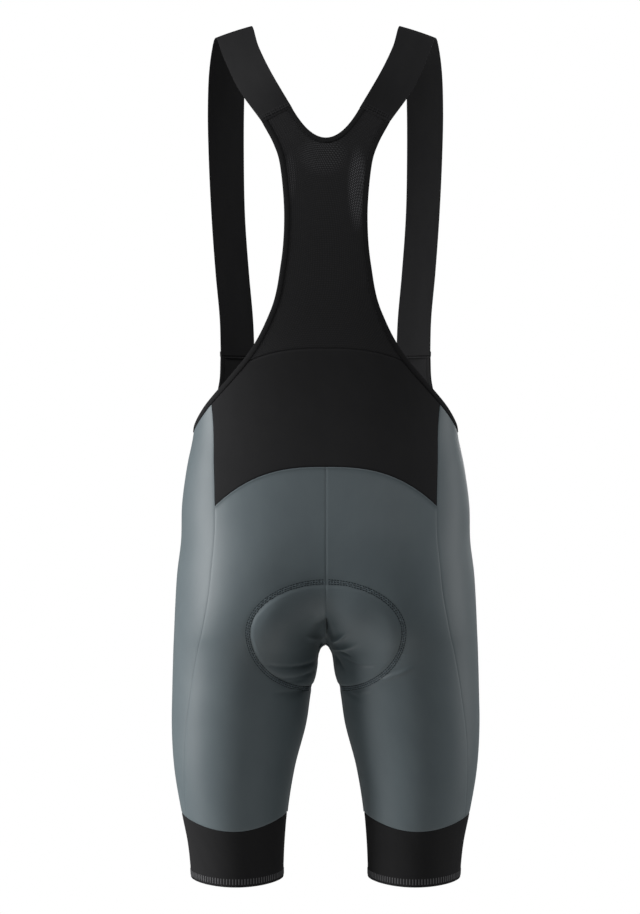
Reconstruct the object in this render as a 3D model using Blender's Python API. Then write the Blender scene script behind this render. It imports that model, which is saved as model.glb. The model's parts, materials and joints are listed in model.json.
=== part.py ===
"""Cycling bib shorts in their worn shape, with no wearer inside.

Metres, +Z up, the front faces -Y and the wearer's left is +X. The origin lies midway between the two shoulder
straps, at their highest point, where the wearer's shoulders hold the garment up.

Every panel lies on one worn form. The form's left half is a tube of level sections, one for the hip and leg,
that runs into its mirror image across the centre plane above the crotch. A place on the form is an angle round
the tube and a height: 0 degrees is the outer side, 90 the back, 180 the inside of the leg and -90 the front.
"""

import math

import bmesh
import bpy
import numpy as np

# Cloth and seams
KNIT_WALL = 0.0015
STRAP_WALL = 0.0015
BAND_WALL = 0.0018
TAPE_WALL = 0.0021
TAPE_LIFT = 0.0003
TAPE_WIDTH = 0.0052
SEAM_GAP = 0.0003

# Heights of the main lines on the centre plane, down from the top of the straps
BACK_NECK_Z = -0.1330
MESH_SEAM_Z = -0.3518
FRONT_NECK_Z = -0.4300
SEAT_SEAM_Z = -0.4760
BIB_SEAM_Z = -0.4960
CROTCH_Z = -0.6680

# The leg band: its seam and hem at the outer side, and how much lower they are at the back and front
BAND_SEAM_Z = -0.8489
BAND_SEAM_DIP = 0.0135
HEM_Z = -0.9190
HEM_DIP = 0.0033

# How square each arched line is: 2 is a parabola
BACK_NECK_POWER = 2.0
FRONT_NECK_POWER = 2.6
SEAM_POWER = 2.7

# The inner corners of the strap's ends, where they meet the neck's edge: distance from the centre plane, height
BACK_STRAP_CORNER = (0.0364, -0.0990)
FRONT_STRAP_CORNER = (0.0797, -0.3530)

# The padded insert: half an oval on the back and half on the front, about one height
PAD_CENTRE_Z = -0.6484
PAD_BACK_HALF_WIDTH = 0.0811
PAD_FRONT_HALF_WIDTH = 0.0560
PAD_RISE = 0.0535
PAD_DROP = 0.0670
PAD_EDGE_WALL = 0.0020
PAD_MIDDLE_WALL = 0.0080
PAD_GAP = 0.0030

# Mesh counts
NECK_COLUMNS = 4
STRAP_END_COLUMNS = 2
EDGE_COLUMNS = 3
SIDE_COLUMNS = 6
ROWS_ABOVE_CROTCH = 12
ROWS_BELOW_CROTCH = 10
CROWDING = 1.8
LUMBAR_ROWS = 5
MESH_ROWS = 14
BIB_ROWS = 5
BAND_ROWS = 3
STRAP_ROWS = 28
PAD_ROWS_ABOVE = 6
PAD_ROWS_BELOW = 3
PAD_COLUMNS = 5

# The form's sections, from the shoulder blades to the hem.
# half_width: from the centre plane to the outer side.  lobe_x: the middle of the hip or leg.
# back_y, mid_y, front_y: the rearmost line, the widest line and the foremost line.
# inner_back, inner_front: the inner end of the hip before the two halves are run together.
# power: 2 for an ellipse, more for a squarer section.  web: how widely the two halves run together.
SECTION_COLUMNS = (
    "height", "half_width", "lobe_x", "back_y", "mid_y", "front_y", "inner_back", "inner_front", "power", "web"
)
SECTIONS = (
    (-0.080, 0.1660, 0.0000, 0.0930, 0.000, -0.1100, -0.360, -0.360, 2.60, 0.0100),
    (-0.150, 0.1640, 0.0000, 0.1060, 0.000, -0.1170, -0.360, -0.360, 2.60, 0.0100),
    (-0.210, 0.1600, 0.0000, 0.1060, 0.000, -0.1190, -0.360, -0.360, 2.60, 0.0100),
    (-0.280, 0.1530, 0.0000, 0.0960, 0.000, -0.1160, -0.360, -0.360, 2.60, 0.0100),
    (-0.350, 0.1455, 0.0000, 0.0835, 0.000, -0.1120, -0.360, -0.360, 2.60, 0.0100),
    (-0.400, 0.1415, 0.0000, 0.0800, 0.000, -0.1110, -0.360, -0.360, 2.60, 0.0120),
    (-0.438, 0.1422, 0.0020, 0.0840, 0.000, -0.1110, -0.360, -0.360, 2.55, 0.0140),
    (-0.477, 0.1496, 0.0090, 0.0930, 0.000, -0.1110, -0.355, -0.355, 2.50, 0.0180),
    (-0.517, 0.1548, 0.0240, 0.1040, 0.000, -0.1090, -0.300, -0.330, 2.42, 0.0220),
    (-0.555, 0.1558, 0.0410, 0.1135, 0.000, -0.1060, -0.175, -0.260, 2.32, 0.0240),
    (-0.590, 0.1600, 0.0570, 0.1170, 0.000, -0.1020, -0.085, -0.150, 2.22, 0.0230),
    (-0.625, 0.1622, 0.0710, 0.1140, 0.000, -0.0975, -0.026, -0.050, 2.12, 0.0190),
    (-0.652, 0.1634, 0.0805, 0.1055, 0.000, -0.0940, 0.0040, -0.001, 2.05, 0.0150),
    (CROTCH_Z, 0.1642, 0.0860, 0.0975, -0.001, -0.0920, 0.0130, 0.0130, 2.02, 0.0130),
    (-0.698, 0.1652, 0.0905, 0.0875, -0.002, -0.0895, 0.0180, 0.0180, 2.00, 0.0125),
    (-0.724, 0.1658, 0.0925, 0.0820, -0.002, -0.0880, 0.0213, 0.0213, 2.00, 0.0125),
    (-0.750, 0.1663, 0.0945, 0.0765, -0.003, -0.0865, 0.0244, 0.0244, 2.00, 0.0125),
    (-0.801, 0.1636, 0.0985, 0.0680, -0.004, -0.0800, 0.0362, 0.0362, 2.00, 0.0125),
    (-0.850, 0.1555, 0.0990, 0.0590, -0.005, -0.0715, 0.0436, 0.0436, 2.00, 0.0125),
    (-0.880, 0.1495, 0.0970, 0.0535, -0.006, -0.0655, 0.0460, 0.0460, 2.00, 0.0125),
    (-0.930, 0.1443, 0.0958, 0.0500, -0.006, -0.0620, 0.0478, 0.0478, 2.00, 0.0125),
)

# The armhole's edge, from the strap at the back, round the side, to the strap at the front
ARMHOLE_COLUMNS = ("face", "x", "height")
ARMHOLE = (
    ("back", 0.0677, -0.1146),
    ("back", 0.0547, -0.1396),
    ("back", 0.0475, -0.1646),
    ("back", 0.0436, -0.2146),
    ("back", 0.0472, -0.2638),
    ("back", 0.0587, -0.3135),
    ("back", 0.0860, -0.3617),
    ("back", 0.1240, -0.4050),
    ("side", 0.0000, -0.4335),
    ("front", 0.1275, -0.4140),
    ("front", 0.1185, -0.3850),
    ("front", 0.1167, -0.3530),
)
MESH_KNOT = 6
SIDE_KNOT = 7
BIB_KNOT = 9

# The seam between seat and side, down from the armhole to below the leg band's seam
SIDE_SEAM_COLUMNS = ("x", "height")
SIDE_SEAM = (
    (0.1189, -0.4400),
    (0.1180, -0.4780),
    (0.1166, -0.5175),
    (0.1180, -0.5650),
    (0.1215, -0.6016),
    (0.1313, -0.6550),
    (0.1430, -0.7130),
    (0.1500, -0.7675),
    (0.1508, -0.8120),
    (0.1470, -0.8700),
)
SEAT_CORNER = 2

# The left strap over the shoulder, between its two ends: the inner and the outer edge, from the back to the front
STRAP_COLUMNS = ("inner x", "inner y", "inner z", "outer x", "outer y", "outer z")
STRAP = (
    (0.0580, 0.0815, -0.0609, 0.0921, 0.0700, -0.0780),
    (0.0713, 0.0520, -0.0300, 0.1085, 0.0400, -0.0410),
    (0.0795, 0.0080, -0.0012, 0.1190, -0.0020, -0.0125),
    (0.0845, -0.0340, -0.0075, 0.1245, -0.0380, -0.0190),
    (0.0885, -0.0670, -0.0340, 0.1290, -0.0660, -0.0420),
    (0.0908, -0.0920, -0.0780, 0.1312, -0.0870, -0.0820),
    (0.0915, -0.1080, -0.1300, 0.1308, -0.1010, -0.1300),
    (0.0905, -0.1160, -0.1950, 0.1280, -0.1065, -0.1950),
    (0.0860, -0.1140, -0.2600, 0.1232, -0.1010, -0.2600),
    (0.0812, -0.1080, -0.3150, 0.1180, -0.0910, -0.3150),
)

# Colour (linear) and roughness
SLATE_KNIT = ((0.090, 0.112, 0.122, 1.0), 0.5)
BLACK_KNIT = ((0.012, 0.012, 0.013, 1.0), 0.7)
BLACK_MESH = ((0.009, 0.009, 0.010, 1.0), 0.8)
BLACK_ELASTIC = ((0.014, 0.014, 0.015, 1.0), 0.65)
BLACK_TAPE = ((0.008, 0.008, 0.009, 1.0), 0.6)
PAD_FABRIC = ((0.040, 0.044, 0.050, 1.0), 0.9)

MIRROR = np.array((-1.0, 1.0, 1.0))


# --- The worn form


def curve_through(knots, values):
    """A smooth curve through rows of values, as a function of the measure that the knots are given in."""
    order = np.argsort(knots)
    at = np.array(knots, float)[order]
    rows = np.array(values, float).reshape(len(at), -1)[order]
    slope = np.gradient(rows, at, axis=0)

    def curve(where):
        where = np.clip(np.asarray(where, float), at[0], at[-1])
        i = np.clip(np.searchsorted(at, where) - 1, 0, len(at) - 2)
        span = (at[i + 1] - at[i])[..., None]
        t = (where - at[i])[..., None] / span
        ends = rows[i] * (1 + 2 * t) * (1 - t) ** 2 + rows[i + 1] * t**2 * (3 - 2 * t)
        return ends + span * (slope[i] * t * (1 - t) ** 2 - slope[i + 1] * t**2 * (1 - t))

    return curve


SECTION_AT = curve_through([row[0] for row in SECTIONS], [row[1:] for row in SECTIONS])


def section(height):
    """The form's section at each height, as a dictionary of named columns."""
    values = SECTION_AT(height)
    found = {name: values[..., i] for i, name in enumerate(SECTION_COLUMNS[1:])}
    found["outer_reach"] = np.hypot(found["half_width"], found["web"]) - found["lobe_x"]
    below = np.asarray(height) < CROTCH_Z
    found["inner_front"] = np.where(below, found["inner_back"], found["inner_front"])
    return found


def signed_power(base, power):
    return np.sign(base) * np.abs(base) ** power


def reach_and_depth(s, outwards, backwards):
    """The section's half width and half depth in the quarter that is meant."""
    inner = np.where(backwards, s["inner_back"], s["inner_front"])
    reach = np.where(outwards, s["outer_reach"], s["lobe_x"] - inner)
    depth = np.where(backwards, s["back_y"] - s["mid_y"], s["mid_y"] - s["front_y"])
    return reach, depth


def form_point(place):
    """The points of the form's left half at places given as angle and height."""
    angle, height = place[..., 0], place[..., 1]
    s = section(height)
    across, back = np.cos(angle), np.sin(angle)
    reach, depth = reach_and_depth(s, across > 0, back > 0)
    lobe = s["lobe_x"] + reach * signed_power(across, 2 / s["power"])
    x = np.sqrt(np.maximum(lobe**2 - s["web"] ** 2, 0))
    y = s["mid_y"] + depth * signed_power(back, 2 / s["power"])
    return np.stack([x, y, height], axis=-1)


def angle_at(x, height, face):
    """The angle where the form's back or front is that far from the centre plane."""
    s = section(height)
    lobe = np.hypot(x, s["web"]) - s["lobe_x"]
    reach, _ = reach_and_depth(s, lobe > 0, face == "back")
    angle = np.arccos(signed_power(np.clip(lobe / reach, -1, 1), s["power"] / 2))
    return angle if face == "back" else -angle


def place_at(x, height, face):
    x, height = np.broadcast_arrays(np.asarray(x, float), np.asarray(height, float))
    return np.stack([angle_at(x, height, face), height], axis=-1)


def form_normal(points):
    """The form's outward direction at points that lie on it."""

    def outside(place):
        x, y, z = np.moveaxis(place, -1, 0)
        s = section(z)
        lobe = np.hypot(x, s["web"]) - s["lobe_x"]
        reach, depth = reach_and_depth(s, lobe > 0, y > s["mid_y"])
        return np.abs(lobe / reach) ** s["power"] + np.abs((y - s["mid_y"]) / depth) ** s["power"]

    steps = 2e-5 * np.eye(3)
    normal = np.stack([outside(points + step) - outside(points - step) for step in steps], axis=-1)
    return normal / np.linalg.norm(normal, axis=-1, keepdims=True)


# --- Lines on the form


def armhole_edge(knot):
    """The armhole's edge as places, by knot number."""
    rows = [(0.0 if face == "side" else float(angle_at(x, z, face)), z) for face, x, z in ARMHOLE]
    return curve_through(range(len(rows)), rows)(knot)


def arch(end, centre_z, power, face):
    """An arched line from the centre plane to its end, as a function of the share of its width."""

    def line(share):
        height = centre_z + (end[1] - centre_z) * share**power
        return place_at(end[0] * share, height, face)

    return line


def beside(line, at, width, turn):
    """A line on the form moved sideways by a width: turn is 1 or -1 for the side."""
    step = 1e-3
    here, before, after = line(at), line(at - step), line(at + step)
    point = form_point(here)
    along = form_point(after) - form_point(before)
    side = turn * np.cross(along, form_normal(point))
    side *= width / np.linalg.norm(side, axis=-1, keepdims=True)
    round_it = (form_point(here + (step, 0)) - point) / step
    upward = (form_point(here + (0, step)) - point) / step
    basis = np.stack([round_it, upward], axis=-1)
    move = np.linalg.pinv(basis) @ side[..., None]
    return here + move[..., 0]


def near_corner(edge, inner, corner, other):
    """Puts a strip's inner line on the strap's end at its last place."""
    share = TAPE_WIDTH / np.linalg.norm(form_point(corner) - form_point(other))
    inner[edge] = corner + (other - corner) * share
    return inner


def joined(*lines):
    """Lines that follow on from each other, each starting where the last one ends."""
    return np.concatenate([lines[0]] + [line[1:] for line in lines[1:]])


def crowded(count):
    """Shares from 0 to 1, close together near 0."""
    return np.linspace(0, 1, count + 1) ** CROWDING


def filled(bottom, top, first, last):
    """The places of a panel between four edges whose corners meet. Rows run from bottom to top."""
    share = [(edge[:, 1] - edge[0, 1]) / (edge[-1, 1] - edge[0, 1]) for edge in (first, last)]
    v = (0.5 * share[0] + 0.5 * share[1])[:, None, None]
    u = np.linspace(0, 1, len(bottom))[None, :, None]
    sides = (1 - u) * first[:, None] + u * last[:, None]
    ends = (1 - v) * bottom[None] + v * top[None]
    corners = (1 - v) * ((1 - u) * bottom[0] + u * bottom[-1]) + v * ((1 - u) * top[0] + u * top[-1])
    return sides + ends - corners


def filled_across(bottom, top, first, last, face):
    """The same for a panel on the back or front alone, evenly spread across its width."""
    flat = [form_point(edge)[:, [0, 2]] for edge in (bottom, top, first, last)]
    patch = filled(*flat)
    return place_at(patch[..., 0], patch[..., 1], face)


def stepped(start, end, count):
    return np.linspace(start, end, count + 1)


# --- Cloth


def material(name, colour, roughness):
    found = bpy.data.materials.get(name)
    if found:
        return found
    made = bpy.data.materials.new(name)
    made.use_nodes = True
    shader = made.node_tree.nodes["Principled BSDF"]
    shader.inputs["Base Color"].default_value = colour
    shader.inputs["Roughness"].default_value = roughness
    shader.inputs["Metallic"].default_value = 0.0
    return made


def seam_gap(points):
    """Moves a sheet's four edges in by half a seam gap, square to each edge, so that it clears its neighbours."""
    moved = points.copy()
    for edge, inner in (
        (np.s_[0], np.s_[1]),
        (np.s_[-1], np.s_[-2]),
        (np.s_[:, 0], np.s_[:, 1]),
        (np.s_[:, -1], np.s_[:, -2]),
    ):
        along = np.gradient(points[edge], axis=0)
        along /= np.linalg.norm(along, axis=-1, keepdims=True)
        way = points[inner] - points[edge]
        way -= along * np.sum(way * along, axis=-1, keepdims=True)
        moved[edge] += way / np.linalg.norm(way, axis=-1, keepdims=True) * SEAM_GAP / 2
    return moved


def solid(name, sheets, finish):
    """A closed shell from sheets that join edge to edge. Each sheet is its outer and its inner points."""
    mesh = bmesh.new()
    inside = mesh.verts.layers.float_vector.new("inside")
    for outer, inner in sheets:
        rows, columns = outer.shape[:2]
        grid = bmesh.ops.create_grid(mesh, x_segments=columns - 1, y_segments=rows - 1, size=1)
        for vert, place, back in zip(grid["verts"], outer.reshape(-1, 3), inner.reshape(-1, 3), strict=True):
            vert.co = place
            vert[inside] = back
    bmesh.ops.remove_doubles(mesh, verts=mesh.verts, dist=1e-6)
    rim = [edge for edge in mesh.edges if edge.is_boundary]
    sheet = mesh.faces[:]
    behind = {vert: mesh.verts.new(vert[inside]) for vert in mesh.verts[:]}
    for face in sheet:
        mesh.faces.new([behind[vert] for vert in reversed(face.verts)])
    for edge in rim:
        a, b = edge.verts
        mesh.faces.new((a, b, behind[b], behind[a]))
    bmesh.ops.recalc_face_normals(mesh, faces=mesh.faces)
    data = bpy.data.meshes.new(name)
    mesh.to_mesh(data)
    mesh.free()
    data.materials.append(finish)
    made = bpy.data.objects.new(name, data)
    bpy.context.scene.collection.objects.link(made)


def shell(places, wall, lift=0.0, gapped=True):
    """A sheet on the form: its outer and inner points."""
    points = form_point(places)
    normal = form_normal(points)
    outer = (seam_gap(points) if gapped else points) + normal * lift
    return outer, outer - normal * wall


def mirrored(sheet):
    return tuple(points * MIRROR for points in sheet)


def on_plane(sheet):
    """Puts a sheet's first column back on the centre plane, where it runs on into its mirror image."""
    for points in sheet:
        points[:, 0, 0] = 0.0
    return sheet


def whole(name, sheet, finish):
    solid(name, [on_plane(sheet), mirrored(sheet)], finish)


def pair(name, sheets, finish):
    solid(name + "_left", sheets, finish)
    solid(name + "_right", [mirrored(sheet) for sheet in sheets], finish)


# --- The garment's lines, as places


class Lines:
    """Every edge and seam of the left half, as rows of places that neighbouring pieces share."""

    def __init__(self):
        self.armhole_knots = {
            "mesh": stepped(MESH_KNOT, 0, MESH_ROWS),
            "lumbar": stepped(MESH_KNOT, SIDE_KNOT, EDGE_COLUMNS),
            "side": stepped(SIDE_KNOT, BIB_KNOT, SIDE_COLUMNS),
            "bib": stepped(BIB_KNOT, len(ARMHOLE) - 1, BIB_ROWS),
        }
        self.back_neck = arch(BACK_STRAP_CORNER, BACK_NECK_Z, BACK_NECK_POWER, "back")
        self.front_neck = arch(FRONT_STRAP_CORNER, FRONT_NECK_Z, FRONT_NECK_POWER, "front")
        self.back_corners = self.back_neck(1.0), armhole_edge(0)
        self.front_corners = self.front_neck(1.0), armhole_edge(len(ARMHOLE) - 1)
        self.side_angle = self.side_seam()
        self.rows()
        self.columns()

    def armhole_inner(self, piece):
        """The line where a piece meets the armhole's binding."""
        places = beside(armhole_edge, self.armhole_knots[piece], TAPE_WIDTH, -1)
        if piece == "mesh":
            return near_corner(-1, places, self.back_corners[1], self.back_corners[0])
        if piece == "bib":
            return near_corner(-1, places, self.front_corners[1], self.front_corners[0])
        return places

    def neck_inner(self, face):
        """The line where the back or the front meets the neck's binding."""
        line, corners, turn = {
            "back": (self.back_neck, self.back_corners, -1),
            "front": (self.front_neck, self.front_corners, 1),
        }[face]
        share = stepped(0, 1, NECK_COLUMNS)
        share[0] = 0.004
        places = beside(line, share, TAPE_WIDTH, turn)
        places[0, 0] = angle_at(0.0, places[0, 1], face)
        return near_corner(-1, places, *corners)

    def side_seam(self):
        """The angle of the seam between seat and side, by height."""
        top = self.armhole_inner("lumbar")[-1]
        rows = [top] + [place_at(x, z, "back") for x, z in SIDE_SEAM]
        return curve_through([row[1] for row in rows], [row[0] for row in rows])

    def on_side(self, heights):
        return np.stack([self.side_angle(heights)[..., 0], heights], axis=-1)

    def band_seam(self, angle):
        return np.stack([angle, BAND_SEAM_Z - BAND_SEAM_DIP * np.sin(angle) ** 2], axis=-1)

    def hem(self, angle):
        return np.stack([angle, HEM_Z - HEM_DIP * np.sin(angle) ** 2], axis=-1)

    def rows(self):
        """Heights of the rows: on the inner edge, and on the side seam."""
        inseam_z = BAND_SEAM_Z
        below = CROTCH_Z + (inseam_z - CROTCH_Z) * crowded(ROWS_BELOW_CROTCH)[::-1]
        above = crowded(ROWS_ABOVE_CROTCH)
        front_above = crowded(ROWS_ABOVE_CROTCH + LUMBAR_ROWS)
        self.seat_inner_z = joined(below, CROTCH_Z + (SEAT_SEAM_Z - CROTCH_Z) * above)
        self.front_inner_z = joined(below, CROTCH_Z + (BIB_SEAM_Z - CROTCH_Z) * front_above)
        corner_z = SIDE_SEAM[SEAT_CORNER][1]
        share = (self.seat_inner_z - inseam_z) / (SEAT_SEAM_Z - inseam_z)
        self.band_corner = self.side_foot()
        self.seat_side_z = self.band_corner[1] + (corner_z - self.band_corner[1]) * share
        top_z = self.armhole_inner("lumbar")[-1][1]
        self.lumbar_side_z = stepped(corner_z, top_z, LUMBAR_ROWS)

    def side_foot(self):
        """Where the side seam ends on the band's seam."""
        height = BAND_SEAM_Z
        for _ in range(20):
            foot = self.band_seam(self.side_angle(height)[..., 0])
            height = foot[1]
        return foot

    def columns(self):
        """The arched seams, with a place at each column."""
        mesh_columns = NECK_COLUMNS + STRAP_END_COLUMNS
        corner = form_point(self.armhole_inner("mesh")[0])
        self.mesh_seam = arch(corner[[0, 2]], MESH_SEAM_Z, SEAM_POWER, "back")(stepped(0, 1, mesh_columns))
        end = form_point(self.on_side(self.lumbar_side_z[:1])[0])
        seat_columns = mesh_columns + EDGE_COLUMNS
        self.seat_seam = arch(end[[0, 2]], SEAT_SEAM_Z, SEAM_POWER, "back")(stepped(0, 1, seat_columns))
        bib_corner = form_point(self.armhole_inner("bib")[0])
        self.bib_seam = arch(bib_corner[[0, 2]], BIB_SEAM_Z, SEAM_POWER, "front")(stepped(0, 1, mesh_columns))
        self.seat_band = self.band_seam(stepped(math.pi, self.band_corner[0], seat_columns))
        self.front_band = self.band_seam(stepped(self.band_corner[0], -math.pi, SIDE_COLUMNS + mesh_columns))

    def strap_end(self, corners):
        """The strap's end from its inner to its outer corner, with a place at each column."""
        inner, outer = corners
        share = TAPE_WIDTH / np.linalg.norm(form_point(outer) - form_point(inner))
        middle = stepped(share, 1 - share, STRAP_END_COLUMNS)
        shares = np.concatenate([[0], middle, [1]])[:, None]
        return inner + (outer - inner) * shares


# --- The pieces


def inner_edge(heights, face):
    """The centre line above the crotch and the inseam below it, as places."""
    places = place_at(0.0, heights, face)
    inseam = math.pi if face == "back" else -math.pi
    places[:, 0] = np.where(heights <= CROTCH_Z, inseam, places[:, 0])
    return places


def seat(lines):
    inner = inner_edge(lines.seat_inner_z, "back")
    side = lines.on_side(lines.seat_side_z)
    return filled(lines.seat_band, lines.seat_seam, inner, side)


def front(lines):
    side = joined(lines.on_side(lines.seat_side_z), lines.on_side(lines.lumbar_side_z))
    inner = inner_edge(lines.front_inner_z, "front")
    top = joined(lines.armhole_inner("side"), lines.bib_seam[::-1])
    return filled(lines.front_band, top, side, inner)


def lumbar(lines):
    top = joined(lines.mesh_seam, lines.armhole_inner("lumbar"))
    centre = inner_edge(stepped(SEAT_SEAM_Z, MESH_SEAM_Z, LUMBAR_ROWS), "back")
    return filled_across(lines.seat_seam, top, centre, lines.on_side(lines.lumbar_side_z), "back")


def back_mesh(lines):
    strap_end = lines.strap_end(lines.back_corners)[1:-1]
    top = joined(lines.neck_inner("back"), strap_end)
    centre = inner_edge(stepped(MESH_SEAM_Z, top[0, 1], MESH_ROWS), "back")
    return filled_across(lines.mesh_seam, top, centre, lines.armhole_inner("mesh"), "back")


def front_bib(lines):
    strap_end = lines.strap_end(lines.front_corners)[1:-1]
    top = joined(lines.neck_inner("front"), strap_end)
    centre = inner_edge(stepped(BIB_SEAM_Z, top[0, 1], BIB_ROWS), "front")
    return filled_across(lines.bib_seam, top, centre, lines.armhole_inner("bib"), "front")


def armhole_binding(lines):
    names = ("mesh", "lumbar", "side", "bib")
    knots = {name: lines.armhole_knots[name] for name in names}
    inner = {name: lines.armhole_inner(name) for name in names}
    knots["mesh"], inner["mesh"] = knots["mesh"][::-1], inner["mesh"][::-1]
    edge = armhole_edge(joined(*knots.values()))
    return np.stack([joined(*inner.values()), edge])


def neck_binding(lines, face):
    line = lines.back_neck if face == "back" else lines.front_neck
    return np.stack([lines.neck_inner(face), line(stepped(0, 1, NECK_COLUMNS))])


def leg_band(lines):
    seam = joined(lines.seat_band, lines.front_band)
    rows = stepped(0, 1, BAND_ROWS)[:, None, None]
    return lines.hem(seam[:, 0]) * (1 - rows) + seam * rows


def band_shell(places):
    """A ring on the form, with no seam down it: only its top is moved off its neighbours."""
    points = form_point(places)
    normal = form_normal(points)
    points[-1, :, 2] -= SEAM_GAP / 2
    points[:, -1], normal[:, -1] = points[:, 0], normal[:, 0]
    return points, points - normal * BAND_WALL


def strap(lines):
    """The strap's outer and inner points, from its back end to its front end."""
    ends = [lines.strap_end(lines.back_corners), lines.strap_end(lines.front_corners)]
    end_points = [form_point(end) for end in ends]
    edges = [np.concatenate([points[0], points[-1]]) for points in end_points]
    rows = np.array([edges[0], *STRAP, edges[1]])
    middle = 0.5 * rows[:, :3] + 0.5 * rows[:, 3:]
    length = np.concatenate([[0], np.cumsum(np.linalg.norm(np.diff(middle, axis=0), axis=1))])
    route = curve_through(length, rows)(stepped(0, length[-1], STRAP_ROWS))
    width = np.linalg.norm(end_points[0][-1] - end_points[0][0])
    share = np.linalg.norm(end_points[0] - end_points[0][0], axis=1)[None, :, None] / width
    points = route[:, None, :3] * (1 - share) + route[:, None, 3:] * share
    points[0], points[-1] = end_points
    normal = np.cross(np.gradient(points, axis=0), np.gradient(points, axis=1))
    normal /= np.linalg.norm(normal, axis=-1, keepdims=True)
    normal[0], normal[-1] = (form_normal(end) for end in end_points)
    outer = seam_gap(points)
    return outer, outer - normal * STRAP_WALL


def pad_quarter(face):
    """A quarter of the padded insert, inside the seat or the front, from the inseam and centre line outwards."""
    half_width = PAD_BACK_HALF_WIDTH if face == "back" else PAD_FRONT_HALF_WIDTH
    bottom, top = PAD_CENTRE_Z - PAD_DROP * 0.92, PAD_CENTRE_Z + PAD_RISE * 0.97
    below = CROTCH_Z + (bottom - CROTCH_Z) * crowded(PAD_ROWS_BELOW)[::-1]
    heights = joined(below, CROTCH_Z + (top - CROTCH_Z) * crowded(PAD_ROWS_ABOVE))
    reach = np.where(heights < PAD_CENTRE_Z, PAD_DROP, PAD_RISE)
    edge_x = half_width * np.sqrt(1 - ((heights - PAD_CENTRE_Z) / reach) ** 2)
    inner, outer = inner_edge(heights, face), place_at(edge_x, heights, face)
    u = stepped(0, 1, PAD_COLUMNS)[None, :, None]
    points = form_point(inner[:, None] * (1 - u) + outer[:, None] * u)
    normal = form_normal(points)
    face_out = points - normal * (KNIT_WALL + PAD_GAP)
    up = np.clip((heights - bottom) / (top - bottom), 0, 1)[:, None, None]
    middle = (1 - u**2) * (1 - (2 * up - 1) ** 4)
    wall = PAD_EDGE_WALL + (PAD_MIDDLE_WALL - PAD_EDGE_WALL) * middle
    return face_out, face_out - normal * wall


def main():
    for old in list(bpy.data.objects):
        bpy.data.objects.remove(old)
    slate = material("slate_knit", *SLATE_KNIT)
    knit = material("black_knit", *BLACK_KNIT)
    tape = material("black_tape", *BLACK_TAPE)
    lines = Lines()

    whole("back_mesh", shell(back_mesh(lines), KNIT_WALL), material("black_mesh", *BLACK_MESH))
    whole("lumbar_panel", shell(lumbar(lines), KNIT_WALL), knit)
    whole("front_bib", shell(front_bib(lines), KNIT_WALL), knit)
    whole("back_neck_binding", shell(neck_binding(lines, "back"), TAPE_WALL, TAPE_LIFT), tape)
    whole("front_neck_binding", shell(neck_binding(lines, "front"), TAPE_WALL, TAPE_LIFT), tape)
    pair("seat", [shell(seat(lines), KNIT_WALL)], slate)
    pair("front", [shell(front(lines), KNIT_WALL)], slate)
    pair("leg_band", [band_shell(leg_band(lines))], material("black_elastic", *BLACK_ELASTIC))
    pair("armhole_binding", [shell(armhole_binding(lines), TAPE_WALL, TAPE_LIFT)], tape)
    pair("strap", [strap(lines)], material("black_elastic", *BLACK_ELASTIC))

    quarters = [pad_quarter("back"), pad_quarter("front")]
    solid("seat_pad", quarters + [mirrored(q) for q in quarters], material("pad_fabric", *PAD_FABRIC))


main()
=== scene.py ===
import json
import math

import bmesh
import bpy
import numpy as np
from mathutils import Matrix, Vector
from mathutils.bvhtree import BVHTree

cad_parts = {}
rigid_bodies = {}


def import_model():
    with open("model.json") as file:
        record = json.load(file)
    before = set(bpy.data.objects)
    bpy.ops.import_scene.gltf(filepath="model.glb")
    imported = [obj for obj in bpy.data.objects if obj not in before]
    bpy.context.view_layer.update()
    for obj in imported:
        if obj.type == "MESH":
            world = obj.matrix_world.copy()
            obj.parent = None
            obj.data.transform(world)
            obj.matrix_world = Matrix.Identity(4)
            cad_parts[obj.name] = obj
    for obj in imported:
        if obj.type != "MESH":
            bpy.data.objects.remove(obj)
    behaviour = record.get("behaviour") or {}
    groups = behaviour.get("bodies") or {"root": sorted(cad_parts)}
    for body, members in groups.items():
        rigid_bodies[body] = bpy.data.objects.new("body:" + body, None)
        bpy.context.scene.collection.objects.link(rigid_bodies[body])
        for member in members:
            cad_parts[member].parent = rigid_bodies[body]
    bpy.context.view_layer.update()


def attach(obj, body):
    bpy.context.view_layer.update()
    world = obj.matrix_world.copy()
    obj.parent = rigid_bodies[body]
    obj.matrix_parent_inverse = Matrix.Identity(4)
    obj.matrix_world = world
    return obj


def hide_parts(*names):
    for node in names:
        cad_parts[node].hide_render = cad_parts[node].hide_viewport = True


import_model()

# Cycling bib shorts in their worn shape. Metres, +Z up, the back faces +Y, the wearer's left is +X.

# ---------- the worn form, shared by every panel ----------

lineHeights = dict(  # on the centre plane, down from the top of the straps
    backNeck=-0.1330, meshSeam=-0.3518, frontNeck=-0.4300, seatSeam=-0.4760, bibSeam=-0.4960, crotch=-0.6680,
)
legBand = dict(seamZ=-0.8489, seamDip=0.0135, hemZ=-0.9190, hemDip=0.0033)
archPower = dict(backNeck=2.0, frontNeck=2.6, seam=2.7)  # 2 is a parabola, more is flatter with steeper ends
strapCorner = dict(back=(0.0364, -0.0990), front=(0.0797, -0.3530))  # inner corner of the strap's end
bindingWidth = 0.0052

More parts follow.
